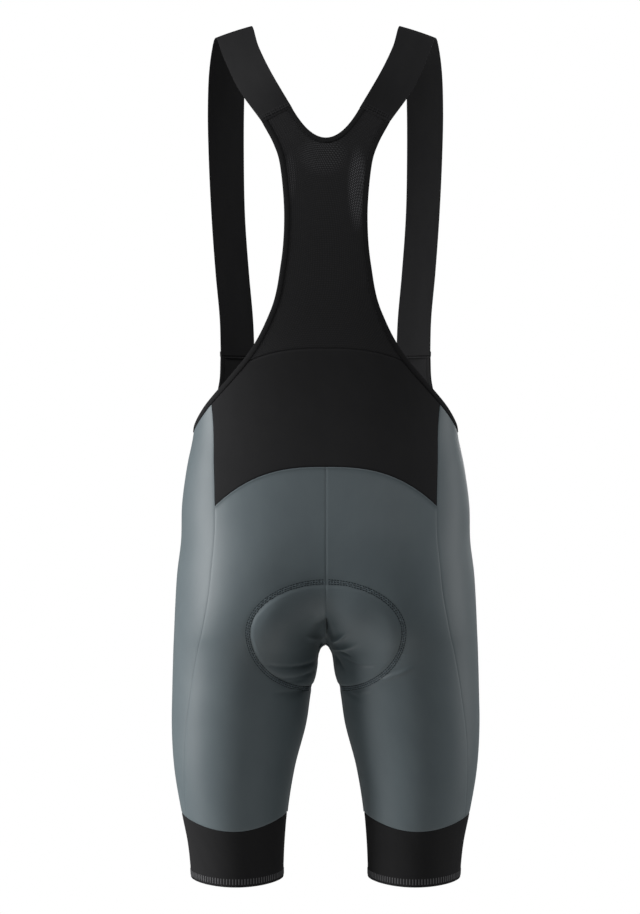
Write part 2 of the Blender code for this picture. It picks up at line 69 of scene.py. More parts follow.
# halfWidth: centre plane to outer side. lobeX: middle of the hip or leg. innerBack, innerFront: inner end
# of the hip before the halves run together. power: 2 for an ellipse. web: how widely they run together.
sectionNames = ("halfWidth", "lobeX", "backY", "midY", "frontY", "innerBack", "innerFront", "power", "web")
sectionRows = (  # height first
    (-0.080, 0.1660, 0.0000, 0.0930, 0.000, -0.1100, -0.360, -0.360, 2.60, 0.0100),
    (-0.150, 0.1640, 0.0000, 0.1060, 0.000, -0.1170, -0.360, -0.360, 2.60, 0.0100),
    (-0.210, 0.1600, 0.0000, 0.1060, 0.000, -0.1190, -0.360, -0.360, 2.60, 0.0100),
    (-0.280, 0.1530, 0.0000, 0.0960, 0.000, -0.1160, -0.360, -0.360, 2.60, 0.0100),
    (-0.350, 0.1455, 0.0000, 0.0835, 0.000, -0.1120, -0.360, -0.360, 2.60, 0.0100),
    (-0.400, 0.1415, 0.0000, 0.0800, 0.000, -0.1110, -0.360, -0.360, 2.60, 0.0120),
    (-0.438, 0.1422, 0.0020, 0.0840, 0.000, -0.1110, -0.360, -0.360, 2.55, 0.0140),
    (-0.477, 0.1496, 0.0090, 0.0930, 0.000, -0.1110, -0.355, -0.355, 2.50, 0.0180),
    (-0.517, 0.1548, 0.0240, 0.1040, 0.000, -0.1090, -0.300, -0.330, 2.42, 0.0220),
    (-0.555, 0.1558, 0.0410, 0.1135, 0.000, -0.1060, -0.175, -0.260, 2.32, 0.0240),
    (-0.590, 0.1600, 0.0570, 0.1170, 0.000, -0.1020, -0.085, -0.150, 2.22, 0.0230),
    (-0.625, 0.1622, 0.0710, 0.1140, 0.000, -0.0975, -0.026, -0.050, 2.12, 0.0190),
    (-0.652, 0.1634, 0.0805, 0.1055, 0.000, -0.0940, 0.0040, -0.001, 2.05, 0.0150),
    (-0.6680, 0.1642, 0.0860, 0.0975, -0.001, -0.0920, 0.0130, 0.0130, 2.02, 0.0130),
    (-0.698, 0.1652, 0.0905, 0.0875, -0.002, -0.0895, 0.0180, 0.0180, 2.00, 0.0125),
    (-0.724, 0.1658, 0.0925, 0.0820, -0.002, -0.0880, 0.0213, 0.0213, 2.00, 0.0125),
    (-0.750, 0.1663, 0.0945, 0.0765, -0.003, -0.0865, 0.0244, 0.0244, 2.00, 0.0125),
    (-0.801, 0.1636, 0.0985, 0.0680, -0.004, -0.0800, 0.0362, 0.0362, 2.00, 0.0125),
    (-0.850, 0.1555, 0.0990, 0.0590, -0.005, -0.0715, 0.0436, 0.0436, 2.00, 0.0125),
    (-0.880, 0.1495, 0.0970, 0.0535, -0.006, -0.0655, 0.0460, 0.0460, 2.00, 0.0125),
    (-0.930, 0.1443, 0.0958, 0.0500, -0.006, -0.0620, 0.0478, 0.0478, 2.00, 0.0125),
)
armholeRows = (  # from the back strap end, round the side, to the front strap end: face, x, height
    ("back", 0.0677, -0.1146),
    ("back", 0.0547, -0.1396),
    ("back", 0.0475, -0.1646),
    ("back", 0.0436, -0.2146),
    ("back", 0.0472, -0.2638),
    ("back", 0.0587, -0.3135),
    ("back", 0.0860, -0.3617),
    ("back", 0.1240, -0.4050),
    ("side", 0.0000, -0.4335),
    ("front", 0.1275, -0.4140),
    ("front", 0.1185, -0.3850),
    ("front", 0.1167, -0.3530),
)
armholeKnots = dict(meshSeam=6, sideSeam=7, bibSeam=9, end=11)
sideSeamRows = (  # x, height, down from the armhole
    (0.1189, -0.4400),
    (0.1180, -0.4780),
    (0.1166, -0.5175),
    (0.1180, -0.5650),
    (0.1215, -0.6016),
    (0.1313, -0.6550),
    (0.1430, -0.7130),
    (0.1500, -0.7675),
    (0.1508, -0.8120),
    (0.1470, -0.8700),
)
seatCornerZ = -0.5175
strapRows = (  # left strap between its ends, back to front: inner x, y, z, then outer x, y, z
    (0.0580, 0.0815, -0.0609, 0.0921, 0.0700, -0.0780),
    (0.0713, 0.0520, -0.0300, 0.1085, 0.0400, -0.0410),
    (0.0795, 0.0080, -0.0012, 0.1190, -0.0020, -0.0125),
    (0.0845, -0.0340, -0.0075, 0.1245, -0.0380, -0.0190),
    (0.0885, -0.0670, -0.0340, 0.1290, -0.0660, -0.0420),
    (0.0908, -0.0920, -0.0780, 0.1312, -0.0870, -0.0820),
    (0.0915, -0.1080, -0.1300, 0.1308, -0.1010, -0.1300),
    (0.0905, -0.1160, -0.1950, 0.1280, -0.1065, -0.1950),
    (0.0860, -0.1140, -0.2600, 0.1232, -0.1010, -0.2600),
    (0.0812, -0.1080, -0.3150, 0.1180, -0.0910, -0.3150),
)


def curveThrough(knots, values):
    order = np.argsort(knots)
    at = np.array(knots, float)[order]
    rows = np.array(values, float).reshape(len(at), -1)[order]
    slope = np.gradient(rows, at, axis=0)

    def curve(where):
        where = np.clip(np.asarray(where, float), at[0], at[-1])
        i = np.clip(np.searchsorted(at, where) - 1, 0, len(at) - 2)
        span = (at[i + 1] - at[i])[..., None]
        t = (where - at[i])[..., None] / span
        ends = rows[i] * (1 + 2 * t) * (1 - t) ** 2 + rows[i + 1] * t**2 * (3 - 2 * t)
        return ends + span * (slope[i] * t * (1 - t) ** 2 - slope[i + 1] * t**2 * (1 - t))

    return curve


sectionCurve = curveThrough([row[0] for row in sectionRows], [row[1:] for row in sectionRows])


def sectionAt(height):
    values = sectionCurve(height)
    s = {name: values[..., i] for i, name in enumerate(sectionNames)}
    s["outerReach"] = np.hypot(s["halfWidth"], s["web"]) - s["lobeX"]
    s["innerFront"] = np.where(np.asarray(height) < lineHeights["crotch"], s["innerBack"], s["innerFront"])
    return s


def signedPower(base, power):
    return np.sign(base) * np.abs(base) ** power


def reachAndDepth(s, outwards, backwards):
    inner = np.where(backwards, s["innerBack"], s["innerFront"])
    reach = np.where(outwards, s["outerReach"], s["lobeX"] - inner)
    depth = np.where(backwards, s["backY"] - s["midY"], s["midY"] - s["frontY"])
    return reach, depth


# A place is an angle round the hip or leg (0 outer side, 90 back, 180 inside, -90 front) and a height.
def formPoint(place):
    angle, height = place[..., 0], place[..., 1]
    s = sectionAt(height)
    across, back = np.cos(angle), np.sin(angle)
    reach, depth = reachAndDepth(s, across > 0, back > 0)
    lobe = s["lobeX"] + reach * signedPower(across, 2 / s["power"])
    x = np.sqrt(np.maximum(lobe**2 - s["web"] ** 2, 0))
    y = s["midY"] + depth * signedPower(back, 2 / s["power"])
    return np.stack([x, y, height], axis=-1)


def placeAt(x, height, face):
    x, height = np.broadcast_arrays(np.asarray(x, float), np.asarray(height, float))
    s = sectionAt(height)
    lobe = np.hypot(x, s["web"]) - s["lobeX"]
    reach, _ = reachAndDepth(s, lobe > 0, face == "back")
    angle = np.arccos(signedPower(np.clip(lobe / reach, -1, 1), s["power"] / 2))
    return np.stack([angle if face == "back" else -angle, height], axis=-1)


def formNormal(points):
    def outside(p):
        x, y, z = np.moveaxis(p, -1, 0)
        s = sectionAt(z)
        lobe = np.hypot(x, s["web"]) - s["lobeX"]
        reach, depth = reachAndDepth(s, lobe > 0, y > s["midY"])
        return np.abs(lobe / reach) ** s["power"] + np.abs((y - s["midY"]) / depth) ** s["power"]

    steps = 2e-5 * np.eye(3)
    normal = np.stack([outside(points + step) - outside(points - step) for step in steps], axis=-1)
    return normal / np.linalg.norm(normal, axis=-1, keepdims=True)


# ---------- edges and seams of the left half ----------


def stepped(start, end, count):
    return np.linspace(start, end, count + 1)


def joined(*lines):
    return np.concatenate([lines[0]] + [line[1:] for line in lines[1:]])


armholeCurve = curveThrough(
    range(len(armholeRows)),
    [(0.0 if face == "side" else float(placeAt(x, z, face)[0]), z) for face, x, z in armholeRows],
)


def arch(end, centreZ, power, face):
    def line(share):
        return placeAt(end[0] * share, centreZ + (end[1] - centreZ) * np.abs(share) ** power, face)

    return line


def beside(line, at, width, turn):
    step = 1e-3
    here, before, after = line(at), line(at - step), line(at + step)
    point = formPoint(here)
    side = turn * np.cross(formPoint(after) - formPoint(before), formNormal(point))
    side *= width / np.linalg.norm(side, axis=-1, keepdims=True)
    roundIt = (formPoint(here + (step, 0)) - point) / step
    upward = (formPoint(here + (0, step)) - point) / step
    move = np.linalg.pinv(np.stack([roundIt, upward], axis=-1)) @ side[..., None]
    return here + move[..., 0]


backNeck = arch(strapCorner["back"], lineHeights["backNeck"], archPower["backNeck"], "back")
frontNeck = arch(strapCorner["front"], lineHeights["frontNeck"], archPower["frontNeck"], "front")
endCorners = dict(  # inner and outer corner of each strap end
    back=(backNeck(1.0), armholeCurve(0.0)), front=(frontNeck(1.0), armholeCurve(float(armholeKnots["end"])))
)


def stripShare(face):
    inner, outer = endCorners[face]
    return bindingWidth / np.linalg.norm(formPoint(outer) - formPoint(inner))


def armholeInner(start, end, count):  # where the panels meet the armhole's binding
    knots = stepped(start, end, count)
    places = beside(armholeCurve, knots, bindingWidth, -1)
    for knot, face in ((0, "back"), (armholeKnots["end"], "front")):
        inner, outer = endCorners[face]
        near = np.clip(1 - np.abs(knots - knot) / 0.35, 0, 1)[:, None]
        onEnd = outer + (inner - outer) * stripShare(face)
        gap = onEnd - beside(armholeCurve, np.array([float(knot)]), bindingWidth, -1)[0]
        places = places + gap * near**2
    return places


def neckInner(face, count):  # where the panels meet the neck's binding
    line, turn = (backNeck, -1) if face == "back" else (frontNeck, 1)
    share = stepped(0, 1, count)
    share[0] = 0.004
    places = beside(line, share, bindingWidth, turn)
    places[0] = placeAt(0.0, places[0, 1], face)
    inner, outer = endCorners[face]
    gap = inner + (outer - inner) * stripShare(face) - places[-1]
    return places + gap * (np.clip(share - 0.7, 0, 1) / 0.3)[:, None] ** 2


sideTop = armholeInner(armholeKnots["meshSeam"], armholeKnots["sideSeam"], 1)[-1]
sideAngle = curveThrough(
    [sideTop[1]] + [z for _, z in sideSeamRows],
    [sideTop[0]] + [float(placeAt(x, z, "back")[0]) for x, z in sideSeamRows],
)


def onSide(heights):
    return np.stack([sideAngle(heights)[..., 0], heights], axis=-1)


def bandSeam(angle):
    return np.stack([angle, legBand["seamZ"] - legBand["seamDip"] * np.sin(angle) ** 2], axis=-1)


def hem(angle):
    return np.stack([angle, legBand["hemZ"] - legBand["hemDip"] * np.sin(angle) ** 2], axis=-1)


def sideFoot():
    height = legBand["seamZ"]
    for _ in range(20):
        foot = bandSeam(sideAngle(height)[..., 0])
        height = foot[1]
    return foot


def innerEdge(heights, face):  # centre line above the crotch, inseam below it
    places = placeAt(0.0, heights, face)
    inseam = math.pi if face == "back" else -math.pi
    places[:, 0] = np.where(heights <= lineHeights["crotch"], inseam, places[:, 0])
    return places


def crowded(count):
    return np.linspace(0, 1, count + 1) ** 1.8


print("form ready")

# ---------- cloth ----------

mirror = np.array((-1.0, 1.0, 1.0))
weave = dict(spacing=0.0019, wall=0.0011)  # grid spacing of the fine panels, cloth thickness
seamLook = dict(  # how panels sink towards their seams, and the allowance pressed flat behind them
    dip=0.00042, sideDip=0.0002, blackDip=0.0008, width=0.0010, gap=0.00005, roll=0.0008,
    tapeWidth=0.011, tapeWall=0.0004, tapeGap=0.0002,
)
padLook = dict(  # the padded insert, pushing the cloth out from inside
    centreZ=-0.6484, backHalfWidth=0.0811, frontHalfWidth=0.056, rise=0.0535, drop=0.0670, lift=0.0016,
    soft=0.016, rim=0.0010, rimWidth=0.0028, stitchDip=0.0005, stitchWidth=0.0011, twin=0.0042,
)
cleftLook = dict(  # the hollow above the crotch, gently sloped on the left and steep on the right
    depth=0.0195, centreX=-0.0004, leftWidth=0.0150, rightWidth=0.0050, centreZ=-0.653, length=0.018,
)
padSwells = (  # the pad's two bulges: x, half width, z, half height, rise
    (-0.021, 0.022, -0.638, 0.024, 0.0062),
    (0.050, 0.020, -0.640, 0.028, 0.0046),
)
creaseStrength, creaseWidth = 2.0, 0.75  # on all of the creases
creaseNames = ("x1", "z1", "xMid", "zMid", "x2", "z2", "height", "width")  # height below 0 is a trough
backCreases = (
    (-0.0035, -0.6620, -0.0135, -0.6540, -0.0245, -0.6462, 0.0027, 0.0030),
    (-0.0105, -0.6690, -0.0230, -0.6660, -0.0346, -0.6596, 0.0018, 0.0032),
    (-0.0147, -0.6700, -0.0210, -0.6728, -0.0273, -0.6743, -0.0012, 0.0022),
    (-0.0126, -0.6700, -0.0360, -0.6925, -0.0590, -0.6790, -0.0005, 0.0020),
    (-0.0126, -0.6763, -0.0160, -0.6835, -0.0210, -0.6900, -0.0010, 0.0022),
    (-0.0556, -0.7004, -0.0720, -0.6950, -0.0901, -0.6857, 0.0012, 0.0021),
    (-0.0178, -0.7131, -0.0320, -0.7150, -0.0450, -0.7115, -0.0008, 0.0022),
    (-0.0210, -0.7152, -0.0290, -0.7195, -0.0367, -0.7225, -0.0009, 0.0026),
    (-0.0315, -0.7131, -0.0380, -0.7145, -0.0451, -0.7152, 0.0003, 0.0022),
    (0.0189, -0.6564, 0.0110, -0.6605, 0.0031, -0.6659, 0.0008, 0.0034),
    (0.0608, -0.6826, 0.0370, -0.6910, 0.0115, -0.6837, -0.0013, 0.0030),
    (0.0566, -0.6963, 0.0360, -0.7030, 0.0136, -0.6942, -0.0011, 0.0028),
    (0.0430, -0.7036, 0.0335, -0.7030, 0.0241, -0.7015, -0.0008, 0.0022),
    (0.0514, -0.7141, 0.0340, -0.7160, 0.0168, -0.7131, -0.0012, 0.0030),
    (0.0409, -0.7183, 0.0325, -0.7180, 0.0241, -0.7173, -0.0007, 0.0024),
)
frontCreases = (
    (-0.0080, -0.6640, -0.0240, -0.6590, -0.0420, -0.6500, 0.0013, 0.0040),
    (-0.0120, -0.6760, -0.0330, -0.6800, -0.0560, -0.6730, -0.0012, 0.0036),
    (-0.0160, -0.6950, -0.0360, -0.7010, -0.0580, -0.6960, -0.0010, 0.0034),
    (0.0060, -0.6610, 0.0200, -0.6550, 0.0360, -0.6430, 0.0012, 0.0042),
    (0.0110, -0.6780, 0.0310, -0.6860, 0.0620, -0.6800, -0.0012, 0.0036),
    (0.0150, -0.6980, 0.0300, -0.7060, 0.0520, -0.7040, -0.0009, 0.0032),
)


def softStep(t):
    t = np.clip(t, 0, 1)
    return t * t * (3 - 2 * t)


def creaseField(points, table):
    x, z = points[..., 0], points[..., 2]
    total = np.zeros_like(x)
    for row in table:
        crease = dict(zip(creaseNames, row))
        t = np.linspace(0, 1, 25)
        lineX = (1 - t) ** 2 * crease["x1"] + 2 * t * (1 - t) * crease["xMid"] + t**2 * crease["x2"]
        lineZ = (1 - t) ** 2 * crease["z1"] + 2 * t * (1 - t) * crease["zMid"] + t**2 * crease["z2"]
        away = (x[..., None] - lineX) ** 2 + (z[..., None] - lineZ) ** 2
        fade = np.sin(np.pi * (0.08 + 0.84 * t)) ** 0.8  # lower towards both ends
        profile = np.exp(-((np.min(away, axis=-1) / (creaseWidth * crease["width"]) ** 2) ** 0.7))
        total += creaseStrength * crease["height"] * fade[np.argmin(away, axis=-1)] * profile
    return total


def padField(points, halfWidth):
    x, z = points[..., 0], points[..., 2] - padLook["centreZ"]
    reach = np.where(z > 0, padLook["rise"], padLook["drop"])
    ratio = np.sqrt((x / halfWidth) ** 2 + (z / reach) ** 2)
    inside = (1 - ratio) * np.hypot(x, z) / np.maximum(ratio, 1e-6)  # metres in from the oval
    bulge = padLook["lift"] * softStep((inside + 0.001) / padLook["soft"])
    bulge += padLook["rim"] * softStep((inside - padLook["twin"] * 0.55) / padLook["rimWidth"])
    for row in (-0.5, 0.5):
        away = (inside - row * padLook["twin"]) / padLook["stitchWidth"]
        bulge -= padLook["stitchDip"] * np.exp(-(away**2))
    return bulge


def workedForm(points):  # how far the cloth stands off the plain form
    back = points[..., 1] > -0.001
    offSeam = points[..., 0] - cleftLook["centreX"]
    away = np.abs(offSeam) / np.where(offSeam > 0, cleftLook["leftWidth"], cleftLook["rightWidth"])
    high = (points[..., 2] - cleftLook["centreZ"]) / cleftLook["length"]
    cleft = cleftLook["depth"] * np.exp(-away - high**2)
    onBack = padField(points, padLook["backHalfWidth"]) + creaseField(points, backCreases) - cleft
    for x, wide, z, high, rise in padSwells:
        across, up = (points[..., 0] - x) / wide, (points[..., 2] - z) / high
        onBack += rise * np.exp(-(across**2) - up**2)
    onFront = padField(points, padLook["frontHalfWidth"]) + creaseField(points, frontCreases)
    blend = softStep((points[..., 1] + 0.012) / 0.024)  # back and front meet softly on the inseam
    return onBack * blend + onFront * (1 - blend)


def lengths(points, axis):  # distance along the grid from its first line
    step = np.linalg.norm(np.diff(points, axis=axis), axis=-1)
    start = np.zeros_like(np.take(step, [0], axis=axis))
    return np.concatenate([start, np.cumsum(step, axis=axis)], axis=axis)


def fromEdges(points, edges):
    along, up = lengths(points, 1), lengths(points, 0)
    found = dict(left=along, right=along[:, -1:] - along, bottom=up, top=up[-1:] - up)
    return np.min([found[edge] for edge in edges], axis=0)


def gridMesh(name, points, uv, closed=False):
    rows, columns = points.shape[:2]
    bm = bmesh.new()
    bmesh.ops.create_grid(bm, x_segments=columns - 1, y_segments=rows - 1, size=1)
    uvLayer = bm.loops.layers.uv.new("clothUV")
    flat = uv.reshape(-1, 2)
    for vert, place in zip(bm.verts, points.reshape(-1, 3)):
        vert.co = place
    bm.verts.index_update()
    for face in bm.faces:
        face.smooth = True
        for loop in face.loops:
            loop[uvLayer].uv = flat[loop.vert.index]
    if closed:
        bmesh.ops.remove_doubles(bm, verts=bm.verts, dist=1e-6)
    for edge in bm.edges:
        edge.smooth = not edge.is_boundary
    mesh = bpy.data.meshes.new(name)
    bm.to_mesh(mesh)
    bm.free()
    return mesh


def turnedOut(points, normal):  # True where the grid's faces look the way of the normal
    across = np.cross(points[1:, :-1] - points[:-1, :-1], points[:-1, 1:] - points[:-1, :-1])
    return np.sum(across * normal[:-1, :-1]) < 0


def clothPiece(name, points, normal, material, nodes, wall, uvStart=(0.0, 0.0), closed=False, rounded=0.0):
    if not turnedOut(points, normal):
        points, normal = points[:, ::-1], normal[:, ::-1]
    uv = np.stack([lengths(points, 1) + uvStart[0], lengths(points, 0) + uvStart[1]], axis=-1)
    obj = bpy.data.objects.new(name, gridMesh(name, points, uv, closed))
    bpy.context.scene.collection.objects.link(obj)
    obj.data.materials.append(material)
    solidify = obj.modifiers.new("clothWall", "SOLIDIFY")
    solidify.thickness = wall
    solidify.offset = -1.0
    solidify.use_even_offset = False
    if rounded:
        bevel = obj.modifiers.new("roundedEdge", "BEVEL")
        bevel.width = rounded
        bevel.segments = 2
        bevel.limit_method = "ANGLE"
        bevel.angle_limit = math.radians(50)
        bevel.harden_normals = True
    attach(obj, "root")
    if nodes:
        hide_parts(*nodes)
    return obj


def withEdgeLines(share, count, more=()):  # two more lines close to each edge, so that a seam's dip is crisp
    near = np.array((0.0007, 0.0015)) / (count * weave["spacing"])
    return np.unique(np.concatenate([share, near, 1 - near, more]))


def panelPlaces(first, last, bottom, top, columns, rows, pinned=None, lean=1.0):
    # first, last: across-measure of the side edges by height. bottom, top: height by across-measure.
    u = withEdgeLines(np.linspace(0, 1, columns + 1) ** lean, columns, (7e-5, 3e-4) if lean > 1 else ())

    def across(z):
        return (1 - u) * first(z) + u * last(z)

    low, high = np.full_like(u, -0.8), np.full_like(u, -0.4)
    for _ in range(60):
        low = 0.4 * low + 0.6 * bottom(across(low))
        high = 0.4 * high + 0.6 * top(across(high))
    share = np.linspace(0, 1, rows + 1)
    if pinned is not None:  # a height that the first column must have, with rows close together round it
        at = (pinned - low[0]) / (high[0] - low[0])
        below = int(rows * at)
        share = joined(at - at * crowded(below)[::-1], at + (1 - at) * crowded(rows - below))
    share = withEdgeLines(share, rows)
    z = low + (high - low) * share[:, None]
    measure = np.stack([(1 - u) * first(row) + u * last(row) for row in z])
    return np.stack([measure, z], axis=-1)


def byHeight(places, column=0):  # an edge as across-measure by height
    order = np.argsort(places[:, 1])
    return lambda z: np.interp(z, places[order, 1], places[order, column])


def byAcross(places, column=0):  # an edge as height by across-measure
    order = np.argsort(places[:, column])
    return lambda a: np.interp(a, places[order, column], places[order, 1])


def xAndZ(places):
    return formPoint(places)[:, [0, 2]]


def facePlaces(measure, face):
    return placeAt(measure[..., 0], measure[..., 1], face)


def strapEnd(face, count):
    inner, outer = endCorners[face]
    share = stepped(stripShare(face), 1 - stripShare(face), count)[:, None]
    return inner + (outer - inner) * share


def bothWays(points):  # a left half grown to the whole width
    return np.concatenate([points[:, :0:-1] * mirror, points], axis=1)


# the seams, as fine rows of places
knots = armholeKnots
meshEdge = armholeInner(knots["meshSeam"], 0, 120)
lumbarEdge = armholeInner(knots["meshSeam"], knots["sideSeam"], 40)
sideEdge = armholeInner(knots["sideSeam"], knots["bibSeam"], 90)
bibEdge = armholeInner(knots["bibSeam"], knots["end"], 50)
meshSeam = arch(xAndZ(meshEdge)[0], lineHeights["meshSeam"], archPower["seam"], "back")(stepped(0, 1, 80))
seatEnd = formPoint(onSide(np.array([seatCornerZ])))[0, [0, 2]]
seatSeam = arch(seatEnd, lineHeights["seatSeam"], archPower["seam"], "back")(stepped(0, 1, 100))
bibSeam = arch(xAndZ(bibEdge)[0], lineHeights["bibSeam"], archPower["seam"], "front")(stepped(0, 1, 80))
foot = sideFoot()
sideLine = onSide(stepped(foot[1], sideTop[1], 300))


def fine(length):
    return int(round(length / weave["spacing"]))


def onCentre(z):
    return 0 * z


def bandHeight(angle):
    return bandSeam(angle)[..., 1]


def meshHalf():
    top = joined(neckInner("back", 40), strapEnd("back", 12))
    edges = [xAndZ(edge) for edge in (meshEdge, meshSeam, top)]
    limits = byHeight(edges[0]), byAcross(edges[1]), byAcross(edges[2])
    measure = panelPlaces(onCentre, *limits, 24, fine(0.24))
    return facePlaces(measure, "back")


def lumbarHalf():
    top = xAndZ(joined(meshSeam, lumbarEdge))
    side = xAndZ(onSide(stepped(seatCornerZ, sideTop[1], 60)))
    limits = byHeight(side), byAcross(xAndZ(seatSeam)), byAcross(top)
    measure = panelPlaces(onCentre, *limits, fine(0.12), fine(0.13))
    return facePlaces(measure, "back")


def bibHalf():
    top = joined(neckInner("front", 50), strapEnd("front", 12))
    edges = [xAndZ(edge) for edge in (bibEdge, bibSeam, top)]
    limits = byHeight(edges[0]), byAcross(edges[1]), byAcross(edges[2])
    measure = panelPlaces(onCentre, *limits, fine(0.11), fine(0.1))
    return facePlaces(measure, "front")


def innerAngle(face):  # the centre line and the inseam, as angle by height
    return lambda z: innerEdge(np.atleast_1d(z), face)[:, 0].reshape(np.shape(z))


def seatPlaces():
    limits = innerAngle("back"), byHeight(sideLine), bandHeight, byAcross(seatSeam)
    return panelPlaces(*limits, fine(0.16), fine(0.36), lineHeights["crotch"], lean=1.9)


def frontPlaces():
    top = joined(sideEdge, bibSeam[::-1])
    limits = innerAngle("front"), byHeight(sideLine), bandHeight, byAcross(top)
    return panelPlaces(*limits, fine(0.24), fine(0.36), lineHeights["crotch"], lean=1.8)


# ---------- fabrics ----------


def linearColour(hexCode):
    parts = [int(hexCode[i : i + 2], 16) / 255 for i in (0, 2, 4)]
    return [c / 12.92 if c <= 0.04045 else ((c + 0.055) / 1.055) ** 2.4 for c in parts] + [1.0]


def addNode(tree, kind, settings=None, **inputs):
    made = tree.nodes.new(kind)
    for name, value in (settings or {}).items():
        setattr(made, name, value)
    for name, value in inputs.items():
        numbered = name[0] == "i" and name[1:].isdigit()
        socket = made.inputs[int(name[1:]) if numbered else name.replace("_", " ")]
        if isinstance(value, bpy.types.NodeSocket):
            tree.links.new(value, socket)
        else:
            socket.default_value = value
    return made


def newFabric(name, slotName, look):
    fabric = bpy.data.materials.new(name)
    fabric.use_nodes = True
    fabric["slotName"] = slotName
    shader = fabric.node_tree.nodes["Principled BSDF"]
    shader.inputs["Roughness"].default_value = look["roughness"]
    shader.inputs["Sheen Weight"].default_value = look["sheen"]
    shader.inputs["Sheen Roughness"].default_value = 0.35
    shader.inputs["Sheen Tint"].default_value = linearColour(look["sheenTint"])
    shader.inputs["Specular IOR Level"].default_value = look["specular"]
    return fabric, fabric.node_tree, shader


def clothUv(tree, scale):  # metres on the cloth, turned into thread counts
    uv = addNode(tree, "ShaderNodeUVMap", dict(uv_map="clothUV"))
    mapping = addNode(tree, "ShaderNodeMapping", Vector=uv.outputs[0])
    mapping.inputs["Scale"].default_value = scale
    return mapping.outputs[0]


def threadSplit(tree, acrossMm, alongMm):  # thread counts across and along the cloth
    uv = clothUv(tree, (1000 / acrossMm, 1000 / alongMm, 1))
    return addNode(tree, "ShaderNodeSeparateXYZ", Vector=uv).outputs


def ridges(tree, count):
    return addNode(tree, "ShaderNodeMath", dict(operation="PINGPONG"), i0=count, i1=0.5).outputs[0]


def clouds(tree, scale, detail):  # unevenness of the dye
    uv = clothUv(tree, scale)
    return addNode(tree, "ShaderNodeTexNoise", Vector=uv, Scale=1.0, Detail=detail).outputs["Fac"]


def mixed(tree, factor, first, second):  # first and second: a colour, or the output that carries one
    mix = addNode(tree, "ShaderNodeMix", dict(data_type="RGBA"), Factor=factor)
    for name, colour in (("A", first), ("B", second)):
        if isinstance(colour, bpy.types.NodeSocket):
            tree.links.new(colour, mix.inputs[name])
        else:
            mix.inputs[name].default_value = colour
    return mix.outputs["Result"]


def finish(tree, shader, colour, height=None, strength=0.0, distance=0.0002):
    tree.links.new(colour, shader.inputs["Base Color"])
    if height is not None:
        bump = addNode(tree, "ShaderNodeBump", Strength=strength, Distance=distance, Height=height)
        tree.links.new(bump.outputs[0], shader.inputs["Normal"])


# warp-knit nylon and elastane, dyed slate: smooth, a satin lustre along the wales
slateLook = dict(
    deep="576267", light="616c70", waleMm=0.9, courseMm=0.7,
    roughness=0.52, sheen=0.25, sheenTint="a4adb0", specular=0.5,
)


def slateKnit():
    fabric, tree, shader = newFabric("slateWarpKnit", "slate_knit", slateLook)
    count = threadSplit(tree, slateLook["waleMm"], slateLook["courseMm"])
    wale, course = ridges(tree, count[0]), ridges(tree, count[1])
    loop = addNode(tree, "ShaderNodeMath", dict(operation="MULTIPLY_ADD"), i0=course, i1=0.35, i2=wale)
    shades = linearColour(slateLook["deep"]), linearColour(slateLook["light"])
    finish(tree, shader, mixed(tree, clouds(tree, (38, 22, 1), 3.0), *shades), loop.outputs[0], 0.12)
    return fabric


# the same knit dyed black, with no lustre
blackLook = dict(
    deep="2a2a2b", light="2e2e2f", waleMm=1.0, courseMm=0.8,
    roughness=0.9, sheen=0.0, sheenTint="85868a", specular=0.04,
)


def blackKnit():
    fabric, tree, shader = newFabric("blackWarpKnit", "black_knit", blackLook)
    count = threadSplit(tree, blackLook["waleMm"], blackLook["courseMm"])
    shades = linearColour(blackLook["deep"]), linearColour(blackLook["light"])
    finish(tree, shader, mixed(tree, clouds(tree, (60, 40, 1), 4.0), *shades), ridges(tree, count[0]), 0.15)
    return fabric


# eyelet warp knit: rows of small holes, offset from row to row, drawn coarser than they are, and seen best
# where the cloth is stretched open
meshLook = dict(
    thread="2b2b2c", hole="323233", openHole="646467", pitchMm=2.6, holeShare=0.26,
    roughness=0.9, sheen=0.0, sheenTint="85868a", specular=0.04,
)
openPatches = (  # x, z, half width, half height, strength
    (-0.033, -0.186, 0.011, 0.045, 1.0),
    (0.004, -0.152, 0.028, 0.022, 0.3),
    (0.037, -0.175, 0.007, 0.028, 0.3),
)


def vectorMath(tree, operation, **inputs):
    return addNode(tree, "ShaderNodeVectorMath", dict(operation=operation), **inputs)


def stretchedOpen(tree):  # 1 in the middle of the open patches, 0 away from them
    place = addNode(tree, "ShaderNodeTexCoord").outputs["Object"]
    opened = 0.0
    for x, z, wide, high, strength in openPatches:
        offset = vectorMath(tree, "SUBTRACT", i0=place, i1=(x, 0.0, z))
        share = vectorMath(tree, "MULTIPLY", i0=offset.outputs[0], i1=(1 / wide, 0.0, 1 / high))
        away = vectorMath(tree, "LENGTH", i0=share.outputs[0])
        near = addNode(
            tree, "ShaderNodeMapRange", dict(interpolation_type="SMOOTHSTEP"), Value=away.outputs["Value"],
            From_Min=0.5, From_Max=1.1, To_Min=strength, To_Max=0.0,
        )
        larger = addNode(tree, "ShaderNodeMath", dict(operation="MAXIMUM"), i0=near.outputs[0], i1=opened)
        opened = larger.outputs[0]
    return opened


